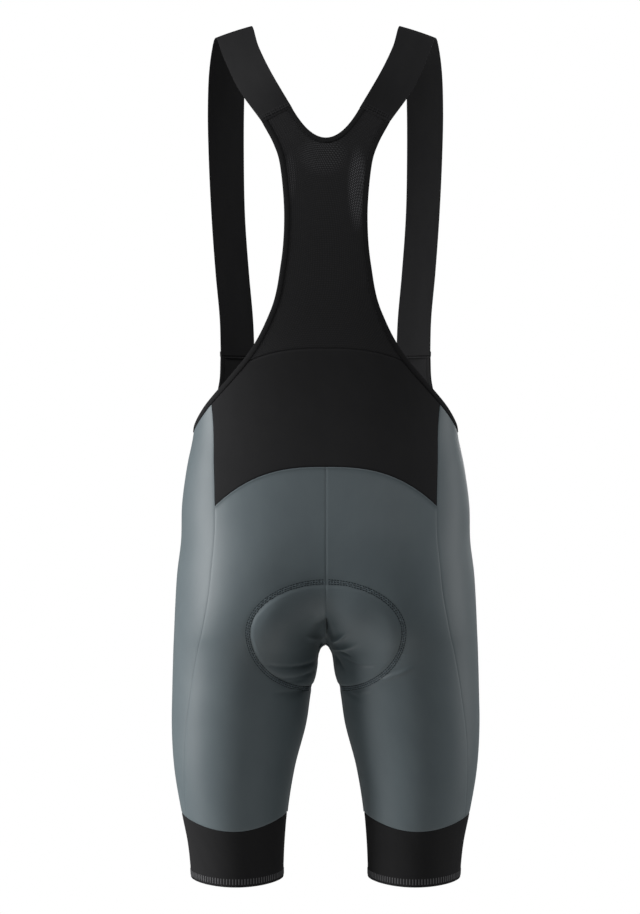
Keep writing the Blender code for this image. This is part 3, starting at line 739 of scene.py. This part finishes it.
def eyeletMesh():
    fabric, tree, shader = newFabric("blackEyeletMesh", "black_mesh", meshLook)
    count = 1000 / meshLook["pitchMm"]
    cell = addNode(
        tree, "ShaderNodeTexVoronoi", dict(voronoi_dimensions="2D"),
        Vector=clothUv(tree, (count, count * 1.1547, 1)), Scale=1.0, Randomness=0.0,
    )
    hole = addNode(
        tree, "ShaderNodeMapRange", dict(interpolation_type="SMOOTHSTEP"), Value=cell.outputs["Distance"],
        From_Min=meshLook["holeShare"], From_Max=meshLook["holeShare"] + 0.12,
    ).outputs[0]
    shades = [linearColour(meshLook[name]) for name in ("hole", "openHole", "thread")]
    through = mixed(tree, stretchedOpen(tree), *shades[:2])
    finish(tree, shader, mixed(tree, hole, through, shades[2]), hole, 0.4, 0.0003)
    return fabric


# woven elastic webbing: fine ribs across its length
elasticLook = dict(
    deep="242425", light="29292a", ribMm=1.3, roughness=0.85, sheen=0.0, sheenTint="8a8b90", specular=0.08,
)


def wovenElastic():
    fabric, tree, shader = newFabric("blackWovenElastic", "black_elastic", elasticLook)
    count = threadSplit(tree, elasticLook["ribMm"], elasticLook["ribMm"])
    shades = linearColour(elasticLook["deep"]), linearColour(elasticLook["light"])
    colour = mixed(tree, clouds(tree, (90, 30, 1), 3.0), *shades)
    finish(tree, shader, colour, ridges(tree, count[1]), 0.25, 0.0003)
    return fabric


# spun polyester sewing thread, slightly fuzzy
spunLook = dict(roughness=0.8, sheen=0.0, sheenTint="b0b4b8", specular=0.08)


def sewingThread(name, hexCode, slotName):
    fabric, tree, shader = newFabric(name, slotName, spunLook)
    place = addNode(tree, "ShaderNodeTexCoord").outputs["Object"]
    twist = addNode(tree, "ShaderNodeTexNoise", Vector=place, Scale=900.0)
    shades = [[min(c * share, 1.0) for c in linearColour(hexCode)[:3]] + [1.0] for share in (0.7, 1.3)]
    finish(tree, shader, mixed(tree, twist.outputs["Fac"], *shades))
    return fabric


slate, black, eyelet, elastic = slateKnit(), blackKnit(), eyeletMesh(), wovenElastic()
tape = sewingThread("blackFoldedTape", "242425", "black_tape")
slateThread = sewingThread("slateThread", "161b1d", "slate_knit")
paleThread = sewingThread("paleSlateThread", "7b878e", "slate_knit")
blackThread = sewingThread("blackThread", "121213", "black_knit")
greyThread = sewingThread("greyThread", "5c5c5e", "black_elastic")


# brushed knit over the padding, near black
padCloth = dict(deep="25272a", light="34373b", roughness=0.95, sheen=0.2, sheenTint="6a6d72", specular=0.1)


def brushedKnit():
    fabric, tree, shader = newFabric("brushedPadKnit", "pad_fabric", padCloth)
    place = addNode(tree, "ShaderNodeTexCoord").outputs["Object"]
    fuzz = addNode(tree, "ShaderNodeTexNoise", Vector=place, Scale=420.0, Detail=4.0).outputs["Fac"]
    shades = linearColour(padCloth["deep"]), linearColour(padCloth["light"])
    finish(tree, shader, mixed(tree, fuzz, *shades), fuzz, 0.3, 0.0004)
    return fabric


brushed = brushedKnit()
print("fabrics ready")

# ---------- panels ----------


def sunkEdges(points, normal, edges, depth):
    near = fromEdges(points, edges)
    dip = depth * np.exp(-((near / seamLook["width"]) ** 2))
    return points - normal * dip[..., None]


def rolledTop(points, normal):  # the turned edge stands up a little along the top
    near = fromEdges(points, ("top",)) - 0.0008
    return points + normal * (seamLook["roll"] * np.exp(-((near / 0.0008) ** 2)))[..., None]


def seamStep(points, edges):  # pulls the edges in by a hair, so that neighbours don't touch
    moved = points.copy()
    spots = dict(
        bottom=(np.s_[0], np.s_[1]), top=(np.s_[-1], np.s_[-2]),
        left=(np.s_[:, 0], np.s_[:, 1]), right=(np.s_[:, -1], np.s_[:, -2]),
    )
    for edge in edges:
        here, inner = spots[edge]
        way = points[inner] - points[here]
        moved[here] += way / np.maximum(np.linalg.norm(way, axis=-1, keepdims=True), 1e-9) * seamLook["gap"]
    return moved


allEdges = ("bottom", "top", "left", "right")
sunkAt = dict(seat=("bottom", "left"), front=("bottom", "top", "left"))  # edges that sink deep


def widePanel(name, half, material):
    points = formPoint(half)
    points[:, 0, 0] = 0.0
    normal = formNormal(points)
    points, normal = bothWays(points), np.concatenate([normal[:, :0:-1] * mirror, normal], axis=1)
    points = sunkEdges(seamStep(points, allEdges), normal, allEdges, seamLook["blackDip"])
    obj = clothPiece(name + "Cloth", points, normal, material, [name], weave["wall"])
    return obj


def sidePanels(name, places, material):
    points = formPoint(places)
    normal = formNormal(points)
    for side, turn in (("left", 1.0), ("right", -1.0)):
        way = np.array((turn, 1.0, 1.0))
        p, n = points * way, normal * way
        worked = seamStep(p, allEdges) + n * workedForm(p)[..., None]
        worked = rolledTop(worked, n) if name == "seat" else worked
        worked = sunkEdges(worked, n, sunkAt[name], seamLook["dip"])
        worked = sunkEdges(worked, n, ("right",), seamLook["sideDip"])
        obj = clothPiece(f"{name}_{side}Cloth", worked, n, material, [f"{name}_{side}"], weave["wall"])
    print(f"{name}: widest {lengths(points, 1)[:, -1].max():.3f}, longest {lengths(points, 0)[-1].max():.3f}")


widePanel("back_mesh", meshHalf(), eyelet)
widePanel("lumbar_panel", lumbarHalf(), black)
widePanel("front_bib", bibHalf(), black)
sidePanels("seat", seatPlaces(), slate)
sidePanels("front", frontPlaces(), slate)
print("panels ready")


# ---------- leg bands ----------

bandLook = dict(columns=150, rows=34, wall=0.0016, hemRoll=0.0004)


def legBands():
    angle = stepped(math.pi, -math.pi, bandLook["columns"])
    rows = stepped(0, 1, bandLook["rows"])[:, None, None]
    places = hem(angle)[None] * (1 - rows) + bandSeam(angle)[None] * rows
    points = formPoint(places)
    normal = formNormal(points)
    normal[:, -1] = normal[:, 0]
    up = lengths(points, 0)
    roll = bandLook["hemRoll"] * softStep(1 - np.abs(up - 0.004) / 0.009)
    dip = seamLook["dip"] * np.exp(-(((up[-1:] - up) / seamLook["width"]) ** 2))
    points = points + normal * (roll - dip)[..., None]
    points[-1, :, 2] -= seamLook["gap"]
    points[:, -1] = points[:, 0]
    for side, turn in (("left", 1.0), ("right", -1.0)):
        way = np.array((turn, 1.0, 1.0))
        node = f"leg_band_{side}"
        obj = clothPiece(
            node + "Cloth", points * way, normal * way, elastic, [node], bandLook["wall"],
            closed=True, rounded=0.0005,
        )


legBands()
print("leg bands ready")

# ---------- bindings ----------

bindingLook = dict(wall=0.0021, lift=0.0003, crown=0.0004, lap=1.18, columns=6, rounded=0.0006)


def bindingPiece(name, inner, edge, whole=False):
    t = stepped(0, 1, bindingLook["columns"])[:, None, None]
    inner = edge + (inner - edge) * bindingLook["lap"]  # the fold covers the panel's edge
    places = inner[None] * (1 - t) + edge[None] * t
    points = formPoint(places)
    normal = formNormal(points)
    crown = bindingLook["lift"] + bindingLook["crown"] * 4 * t[..., 0] * (1 - t[..., 0])
    points = points + normal * crown[..., None]
    if whole:
        points[:, 0, 0] = 0.0
        points, normal = bothWays(points), np.concatenate([normal[:, :0:-1] * mirror, normal], axis=1)
        sides = (("", 1.0),)
    else:
        sides = (("_left", 1.0), ("_right", -1.0))
    length = float(np.mean(lengths(points, 1)[:, -1]))
    for side, turn in sides:
        way = np.array((turn, 1.0, 1.0))
        obj = clothPiece(
            name + side + "Cloth", points * way, normal * way, tape, [name + side], bindingLook["wall"],
            rounded=bindingLook["rounded"],
        )


armKnots = joined(
    stepped(0, knots["meshSeam"], 120), stepped(knots["meshSeam"], knots["sideSeam"], 40),
    stepped(knots["sideSeam"], knots["bibSeam"], 90), stepped(knots["bibSeam"], knots["end"], 50),
)
bindingPiece("armhole_binding", joined(meshEdge[::-1], lumbarEdge, sideEdge, bibEdge), armholeCurve(armKnots))
bindingPiece("back_neck_binding", neckInner("back", 40), backNeck(stepped(0, 1, 40)), whole=True)
bindingPiece("front_neck_binding", neckInner("front", 50), frontNeck(stepped(0, 1, 50)), whole=True)
print("bindings ready")

# ---------- straps ----------

strapLook = dict(rows=230, columns=14, wall=0.0015, crown=0.0006, rounded=0.0005)


def strapRoute():
    ends = [formPoint(np.stack(endCorners[face])) for face in ("back", "front")]
    route = np.array([ends[0].reshape(6), *strapRows, ends[1].reshape(6)])
    middle = 0.5 * route[:, :3] + 0.5 * route[:, 3:]
    reach = np.concatenate([[0], np.cumsum(np.linalg.norm(np.diff(middle, axis=0), axis=1))])
    return curveThrough(reach, route), reach[-1]


def ribbon(line, columns):  # rows of inner and outer points, filled in between
    share = stepped(0, 1, columns)[None, :, None]
    points = line[:, None, :3] * (1 - share) + line[:, None, 3:] * share
    normal = np.cross(np.gradient(points, axis=0), np.gradient(points, axis=1))
    return points, normal / np.linalg.norm(normal, axis=-1, keepdims=True)


def strapGrid(rows, columns):
    line, reach = strapRoute()
    return ribbon(line(stepped(0, reach, rows)), columns)


def straps():
    points, normal = strapGrid(strapLook["rows"], strapLook["columns"])
    share = stepped(0, 1, strapLook["columns"])
    points = points + normal * (strapLook["crown"] * 4 * share * (1 - share))[None, :, None]
    for side, turn in (("left", 1.0), ("right", -1.0)):
        way = np.array((turn, 1.0, 1.0))
        obj = clothPiece(
            f"strap_{side}Cloth", points * way, normal * way, elastic, [f"strap_{side}"], strapLook["wall"],
            rounded=strapLook["rounded"],
        )


straps()

lapLook = dict(
    over=0.0052, under=0.0030, turned=0.0020, width=0.034, area=0.00032,
    wall=0.0009, lift=0.0004, sunk=0.0008, pucker=0.0007, waves=4.5, columns=24,
)


def laps():  # the panels' ends, turned over the strap ends and sewn down
    line, reach = strapRoute()
    for face, material, node in (("back", eyelet, "back_mesh"), ("front", black, "front_bib")):
        start, way = (0.0, 1.0) if face == "back" else (reach, -1.0)
        on = line(start + way * stepped(0, lapLook["over"], 8))
        away = (on[0] - on[3]) / np.linalg.norm(on[0, :3] - on[3, :3])
        below = on[:1] + away * np.linspace(lapLook["under"], lapLook["sunk"], 3)[:, None]
        route = np.concatenate([below, on[1:]])
        rise = np.interp(np.arange(len(route)), (0, 3), (-lapLook["sunk"], 1.0))[:, None, None]
        if face == "front":
            route, rise = route[::-1], rise[::-1]
        points, normal = ribbon(route, lapLook["columns"])
        share = stepped(0, 1, lapLook["columns"])[None, :, None]
        phase = share * lapLook["waves"] * 2 * math.pi + 0.7 * np.sin(7 * share)
        wave = lapLook["pucker"] * np.sin(phase) ** 2
        points = points + normal * (wave * np.maximum(rise, 0) + (lapLook["wall"] + lapLook["lift"]) * rise)
        for side, turn in (("left", 1.0), ("right", -1.0)):
            turned = np.array((turn, 1.0, 1.0))
            obj = clothPiece(
                f"{node}Lap_{side}", points * turned, normal * turned, material, [], lapLook["wall"],
                rounded=0.0003,
            )


laps()
print("straps ready")

# ---------- seam tapes, inside behind every seam ----------


def unitLength(vectors):
    return vectors / np.linalg.norm(vectors, axis=-1, keepdims=True)


def seamTape(name, places, material, worked=False):
    points = formPoint(places)
    normal = formNormal(points)
    side = unitLength(np.cross(np.gradient(points, axis=0), normal))
    t = (stepped(-0.5, 0.5, 4) * seamLook["tapeWidth"])[:, None, None]
    strip = points[None] + side[None] * t
    normals = np.repeat(normal[None], 5, axis=0)
    for tag, turn in (("left", 1.0), ("right", -1.0)):
        way = np.array((turn, 1.0, 1.0))
        p, n = strip * way, normals * way
        if worked:
            p = p + n * workedForm(np.repeat((points * way)[None], 5, axis=0))[..., None]
        p = p - n * (weave["wall"] + seamLook["tapeGap"])
        obj = clothPiece(f"{name}_{tag}", p, n, material, [], seamLook["tapeWall"])
        length = float(lengths(strip, 1)[2, -1])


def centreTape(name, start, end, face, rows=70, columns=7):
    z = stepped(start, end, rows)[:, None] + np.zeros(columns)
    x = np.linspace(-0.5, 0.5, columns) * seamLook["tapeWidth"] + np.zeros_like(z)
    points = formPoint(placeAt(np.abs(x), z, face))
    normal = formNormal(points)
    way = np.stack([np.where(x < 0, -1.0, 1.0), np.ones_like(x), np.ones_like(x)], axis=-1)
    points, normal = points * way, normal * way
    points = points + normal * (workedForm(points) - weave["wall"] - seamLook["tapeGap"])[..., None]
    obj = clothPiece(name, points, normal, slateThread, [], seamLook["tapeWall"])
    float(lengths(points, 0)[-1, 3])


crotchZ = lineHeights["crotch"]
seamTape("meshSeamTape", meshSeam, tape)
seamTape("seatSeamTape", seatSeam, tape)
seamTape("sideSeamTape", onSide(stepped(foot[1], sideTop[1], 160)), slateThread, True)
seamTape("bibSeamTape", bibSeam, tape)
inseam = innerEdge(stepped(float(bandHeight(math.pi)), crotchZ - 0.0005, 90), "back")
seamTape("inseamTape", inseam, slateThread, True)
centreTape("centreBackTape", crotchZ + 0.002, lineHeights["seatSeam"], "back")
centreTape("centreFrontTape", crotchZ + 0.002, lineHeights["bibSeam"], "front")
print("seam tapes ready")

# ---------- padded insert, inside the seat ----------

insertLook = dict(
    edgeWall=0.0020, middleWall=0.0080, under=0.0003, rowsAbove=34, rowsBelow=22, columns=34,
    channelX=0.0185, channelWidth=0.0026, channelShare=0.5, outerChannel=0.62, outerWidth=0.035,
    dropShare=0.92, riseShare=0.97, crowd=1.4, fill=0.7,
)


def insertQuarter(face, turn):
    halfWidth = padLook["backHalfWidth"] if face == "back" else padLook["frontHalfWidth"]
    bottom = padLook["centreZ"] - padLook["drop"] * insertLook["dropShare"]
    top = padLook["centreZ"] + padLook["rise"] * insertLook["riseShare"]
    below = crotchZ + (bottom - crotchZ) * crowded(insertLook["rowsBelow"])[::-1]
    heights = joined(below, crotchZ + (top - crotchZ) * crowded(insertLook["rowsAbove"]))
    reach = np.where(heights < padLook["centreZ"], padLook["drop"], padLook["rise"])
    edgeX = halfWidth * np.sqrt(1 - ((heights - padLook["centreZ"]) / reach) ** 2)
    u = (stepped(0, 1, insertLook["columns"]) ** insertLook["crowd"])[None, :, None]
    inner, outer = innerEdge(heights, face)[:, None], placeAt(edgeX, heights, face)[:, None]
    points = formPoint(inner * (1 - u) + outer * u)
    normal = formNormal(points)
    way = np.array((turn, 1.0, 1.0))
    points, normal = points * way, normal * way
    outside = points + normal * (workedForm(points) - weave["wall"] - insertLook["under"])[..., None]
    up = ((heights - bottom) / (top - bottom))[:, None]
    share = u[..., 0]
    thick = (1 - share**2) * (1 - (2 * up - 1) ** 4)
    wall = insertLook["edgeWall"] + (insertLook["middleWall"] - insertLook["edgeWall"]) * thick
    away = (np.abs(points[..., 0]) - insertLook["channelX"]) / insertLook["channelWidth"]
    groove = np.exp(-(away**2))
    groove += np.exp(-(((share - insertLook["outerChannel"]) / insertLook["outerWidth"]) ** 2))
    wall = wall * (1 - insertLook["channelShare"] * np.minimum(groove, 1))
    return outside, outside - normal * wall[..., None]


def addGrid(bm, points, flipped):
    rows, columns = points.shape[:2]
    grid = [[bm.verts.new(points[r, c]) for c in range(columns)] for r in range(rows)]
    for r in range(rows - 1):
        for c in range(columns - 1):
            corners = [grid[r][c], grid[r][c + 1], grid[r + 1][c + 1], grid[r + 1][c]]
            bm.faces.new(corners[::-1] if flipped else corners)
    return grid


def seatInsert():
    bm = bmesh.new()
    for face in ("back", "front"):
        for turn in (1.0, -1.0):
            outside, inside = insertQuarter(face, turn)
            way = (face == "back") == (turn > 0)
            top, low = addGrid(bm, outside, way), addGrid(bm, inside, not way)
            ends = [[row[-1] for row in grid] for grid in (top, low)]
            for line, other in ((top[0], low[0]), (top[-1][::-1], low[-1][::-1]), ends):
                for a, b, c, d in zip(line, line[1:], other[1:], other):
                    bm.faces.new((a, b, c, d) if not way else (d, c, b, a))
    bmesh.ops.remove_doubles(bm, verts=bm.verts, dist=2e-5)
    bmesh.ops.recalc_face_normals(bm, faces=bm.faces)
    for face in bm.faces:
        face.smooth = True
    mesh = bpy.data.meshes.new("seatInsert")
    bm.to_mesh(mesh)
    bm.free()
    mesh.set_sharp_from_angle(angle=math.radians(50))
    obj = bpy.data.objects.new("seatInsert", mesh)
    bpy.context.scene.collection.objects.link(obj)
    obj.data.materials.append(brushed)
    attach(obj, "root")
    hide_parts("seat_pad")


seatInsert()
print("seat insert ready")

# ---------- stitching ----------

runLook = dict(  # running stitches: pitch, length, radius
    pad=(0.0030, 0.0024, 0.00038), bar=(0.0024, 0.0019, 0.0003), tape=(0.0028, 0.0021, 0.0002),
)
zigLook = dict(pitch=0.0028, radius=0.00028)
ovalEnds = dict(top=89.6, back=-78.0, front=-72.0)  # degrees, where the pad's half oval starts and stops
barLook = dict(share=0.86, rows=(-0.0012, 0.0014))
hemBars = dict(pitch=0.0032, wide=0.0013, thick=0.0004, tall=0.0060, above=0.0029)


def template(kind):  # a unit stitch, or a unit bar with worn edges
    bm = bmesh.new()
    if kind == "stitch":
        bmesh.ops.create_uvsphere(bm, u_segments=6, v_segments=4, radius=1.0)
    else:
        bmesh.ops.create_cube(bm, size=1.0)
        bmesh.ops.bevel(bm, geom=bm.edges[:], offset=0.08, affect="EDGES", segments=1)
    corners = np.array([vert.co[:] for vert in bm.verts])
    faces = [[vert.index for vert in face.verts] for face in bm.faces]
    bm.free()
    return corners, faces


# frames: the centre and the three scaled axes of each copy
def repeated(name, kind, frames, material, smooth=True):
    corners, faces = template(kind)
    frames = np.array(frames)
    centre, axes = frames[:, 0], frames[:, 1:]
    points = centre[:, None] + np.einsum("vk,nkj->nvj", corners, axes)
    every = [[i * len(corners) + corner for corner in face] for i in range(len(frames)) for face in faces]
    mesh = bpy.data.meshes.new(name)
    mesh.from_pydata(points.reshape(-1, 3).tolist(), [], every)
    if smooth:
        mesh.shade_smooth()
    obj = bpy.data.objects.new(name, mesh)
    bpy.context.scene.collection.objects.link(obj)
    obj.data.materials.append(material)
    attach(obj, "root")
    return obj


def stitchFrame(start, end, normal, radius):
    along = (end - start) / 2
    across = np.cross(along, normal)
    across /= np.linalg.norm(across)
    up = np.cross(across, along / np.linalg.norm(along))
    return [(start + end) / 2, across * radius, up * radius * 0.8, along]


def evenly(points, pitch, count=None):  # the same line with a point at every pitch
    reach = np.concatenate([[0], np.cumsum(np.linalg.norm(np.diff(points, axis=0), axis=1))])
    at = np.linspace(0, reach[-1], count or max(int(round(reach[-1] / pitch)), 2) + 1)
    return np.stack([np.interp(at, reach, points[:, i]) for i in range(3)], axis=1)


def surfaceOf(*names):
    bm = bmesh.new()
    for name in names:
        bm.from_mesh(bpy.data.objects[name].data)
    tree = BVHTree.FromBMesh(bm)
    bm.free()
    return tree


def onCloth(tree, points):
    hits = [tree.find_nearest(Vector(point))[:2] for point in points]
    return np.array([hit[0] for hit in hits]), np.array([hit[1] for hit in hits])


def runningStitch(tree, line, pitch, length, radius):
    points, normal = onCloth(tree, evenly(line, pitch))
    way = unitLength(np.gradient(points, axis=0)) * length / 2
    points = points + normal * radius * 0.5
    return [stitchFrame(p - w, p + w, n, radius) for p, w, n in zip(points[1:-1], way[1:-1], normal[1:-1])]


def padOutline(face, offset, count=260):  # half the oval, from the top of the centre seam to the inseam
    halfWidth = padLook["backHalfWidth"] if face == "back" else padLook["frontHalfWidth"]
    turn = np.radians(np.linspace(ovalEnds["top"], ovalEnds[face], count))
    x = (halfWidth + offset) * np.cos(turn)
    z = padLook["centreZ"] + (np.where(turn > 0, padLook["rise"], padLook["drop"]) + offset) * np.sin(turn)
    return formPoint(placeAt(x, z, face))


def padStitching(tree):
    rows, zigzags = [], []
    for face in ("back", "front"):
        for turn in (1.0, -1.0):
            way = np.array((turn, 1.0, 1.0))
            lines = [padOutline(face, side * padLook["twin"] / 2) * way for side in (-1, 0, 1)]
            for line in lines:
                rows += runningStitch(tree, line, *runLook["pad"])
            inner = evenly(lines[0], zigLook["pitch"])
            outer = evenly(lines[2], zigLook["pitch"], len(inner))
            corners = np.where((np.arange(len(inner)) % 2)[:, None] == 0, inner, outer)
            points, normal = onCloth(tree, corners)
            points = points + normal * zigLook["radius"]
            strokes = zip(points[:-1], points[1:], normal)
            zigzags += [stitchFrame(a, b, n, zigLook["radius"]) for a, b, n in strokes]
    repeated("padTwinStitch", "stitch", rows, slateThread)
    repeated("padZigzagStitch", "stitch", zigzags, paleThread)


def barTacks():  # zigzag bars across the ends of the straps
    frames = []
    for node in ("back_mesh", "front_bib"):
        for side in ("left", "right"):
            name = f"{node}Lap_{side}"
            tree = surfaceOf(name)
            grid = np.array([vert.co[:] for vert in bpy.data.objects[name].data.vertices])
            centre = grid.mean(axis=0)
            spread = np.linalg.svd(grid - centre)[2]
            reach = (grid - centre) @ spread[0]
            ends = reach.min() * barLook["share"], reach.max() * barLook["share"]
            middle = centre + spread[0] * np.linspace(*ends, 40)[:, None]
            for shift in barLook["rows"]:
                frames += runningStitch(tree, middle + spread[1] * shift, *runLook["bar"])
    repeated("strapEndStitch", "stitch", frames, blackThread)


def bindingStitches():
    frames = []
    for edge in ("armhole_binding_left", "armhole_binding_right", "back_neck_binding", "front_neck_binding"):
        name = edge + "Cloth"
        grid = np.array([vert.co[:] for vert in bpy.data.objects[name].data.vertices])
        rows = grid.reshape(bindingLook["columns"] + 1, -1, 3)
        frames += runningStitch(surfaceOf(name), rows[1], *runLook["tape"])
    repeated("bindingStitch", "stitch", frames, blackThread)


def hemDashes():
    angle = np.linspace(math.pi, -math.pi, 721)
    ring = evenly(formPoint(hem(angle)), hemBars["pitch"])[:-1]
    for side, turn in (("left", 1.0), ("right", -1.0)):
        tree = surfaceOf(f"leg_band_{side}Cloth")
        raised = ring * (turn, 1.0, 1.0) + (0.0, 0.0, hemBars["above"] + hemBars["tall"] / 2)
        points, normal = onCloth(tree, raised)
        frames = []
        for p, n in zip(points, normal):
            up = unitLength(np.array((0.0, 0.0, 1.0)) - n * n[2])
            across = np.cross(up, n)
            frames.append([p, across * hemBars["wide"], n * hemBars["thick"], up * hemBars["tall"]])
        repeated(f"hemDashes_{side}", "bar", frames, greyThread, smooth=False)


padStitching(surfaceOf("seat_leftCloth", "seat_rightCloth", "front_leftCloth", "front_rightCloth"))
barTacks()
bindingStitches()
hemDashes()
print("stitching ready")

# ---------- camera, light, floor ----------

view = dict(distance=2.8, x=0.0061, z=-0.4655, height=0.98712, floorZ=-1.5, floorRadius=1.4, ambient=0.10)
camera = bpy.data.objects.new("camera", bpy.data.cameras.new("camera"))
camera.data.lens = 36 * view["distance"] / view["height"]
camera.location = (view["x"], view["distance"], view["z"])
camera.rotation_euler = (math.radians(90), 0, math.radians(180))
bpy.context.scene.collection.objects.link(camera)
bpy.context.scene.camera = camera

lightRows = (  # name, place, aim, size, size2, watts
    ("key", (2.4, 0.26, -0.25), (0.0, 0.0, -0.6), 0.9, 1.9, 75.5),
    ("rim", (-2.2, -0.5, -0.4), (-0.1, 0.0, -0.6), 0.8, 1.8, 14.5),
    ("fill", (1.9, 2.6, 0.2), (0.0, 0.0, -0.50), 1.4, 1.4, 9.4),
    ("front", (-0.9, -2.8, 0.4), (0.0, 0.0, -0.5), 1.8, 1.8, 26.0),
    ("top", (-0.9, 1.1, 1.6), (0.0, 0.0, -0.15), 1.4, 1.2, 21.0),
)
for name, place, aim, wide, high, watts in lightRows:
    lamp = bpy.data.lights.new(name, "AREA")
    lamp.shape = "RECTANGLE"
    lamp.size, lamp.size_y, lamp.energy = wide, high, watts
    holder = bpy.data.objects.new(name, lamp)
    holder.location = place
    holder.rotation_euler = (Vector(aim) - Vector(place)).to_track_quat("-Z", "Y").to_euler()
    bpy.context.scene.collection.objects.link(holder)


def paleFloor():  # matt painted board that fades out towards its rim
    board = bpy.data.materials.new("paleStudioFloor")
    board.use_nodes = True
    tree = board.node_tree
    shader = tree.nodes["Principled BSDF"]
    shader.inputs["Base Color"].default_value = linearColour("ecebe9")
    shader.inputs["Roughness"].default_value = 0.9
    place = addNode(tree, "ShaderNodeTexCoord").outputs["Object"]
    flatPlace = vectorMath(tree, "MULTIPLY", i0=place, i1=(1.0, 1.0, 0.0))
    away = addNode(tree, "ShaderNodeVectorMath", dict(operation="LENGTH"), i0=flatPlace.outputs[0])
    fade = addNode(
        tree, "ShaderNodeMapRange", dict(interpolation_type="SMOOTHSTEP"), Value=away.outputs["Value"],
        From_Min=0.35 * view["floorRadius"], From_Max=0.98 * view["floorRadius"], To_Min=1.0, To_Max=0.0,
    )
    tree.links.new(fade.outputs[0], shader.inputs["Alpha"])
    return board


bm = bmesh.new()
bmesh.ops.create_circle(bm, cap_ends=True, radius=view["floorRadius"], segments=96)
bmesh.ops.translate(bm, verts=bm.verts, vec=(0.0, 0.0, view["floorZ"]))
floor = bpy.data.objects.new("floor", bpy.data.meshes.new("floor"))
bm.to_mesh(floor.data)
bm.free()
floor.data.materials.append(paleFloor())
bpy.context.scene.collection.objects.link(floor)

world = bpy.data.worlds.new("studio")  # a white room that shows white, and lights the cloth only softly
world.use_nodes = True
sky = world.node_tree.nodes["Background"]
seen = addNode(world.node_tree, "ShaderNodeLightPath")
strength = addNode(
    world.node_tree, "ShaderNodeMapRange", Value=seen.outputs["Is Camera Ray"],
    To_Min=view["ambient"], To_Max=1.0,
)
world.node_tree.links.new(strength.outputs[0], sky.inputs["Strength"])
sky.inputs["Color"].default_value = (1, 1, 1, 1)
bpy.context.scene.world = world
bpy.context.scene.view_settings.view_transform = "Standard"
print("stage ready")
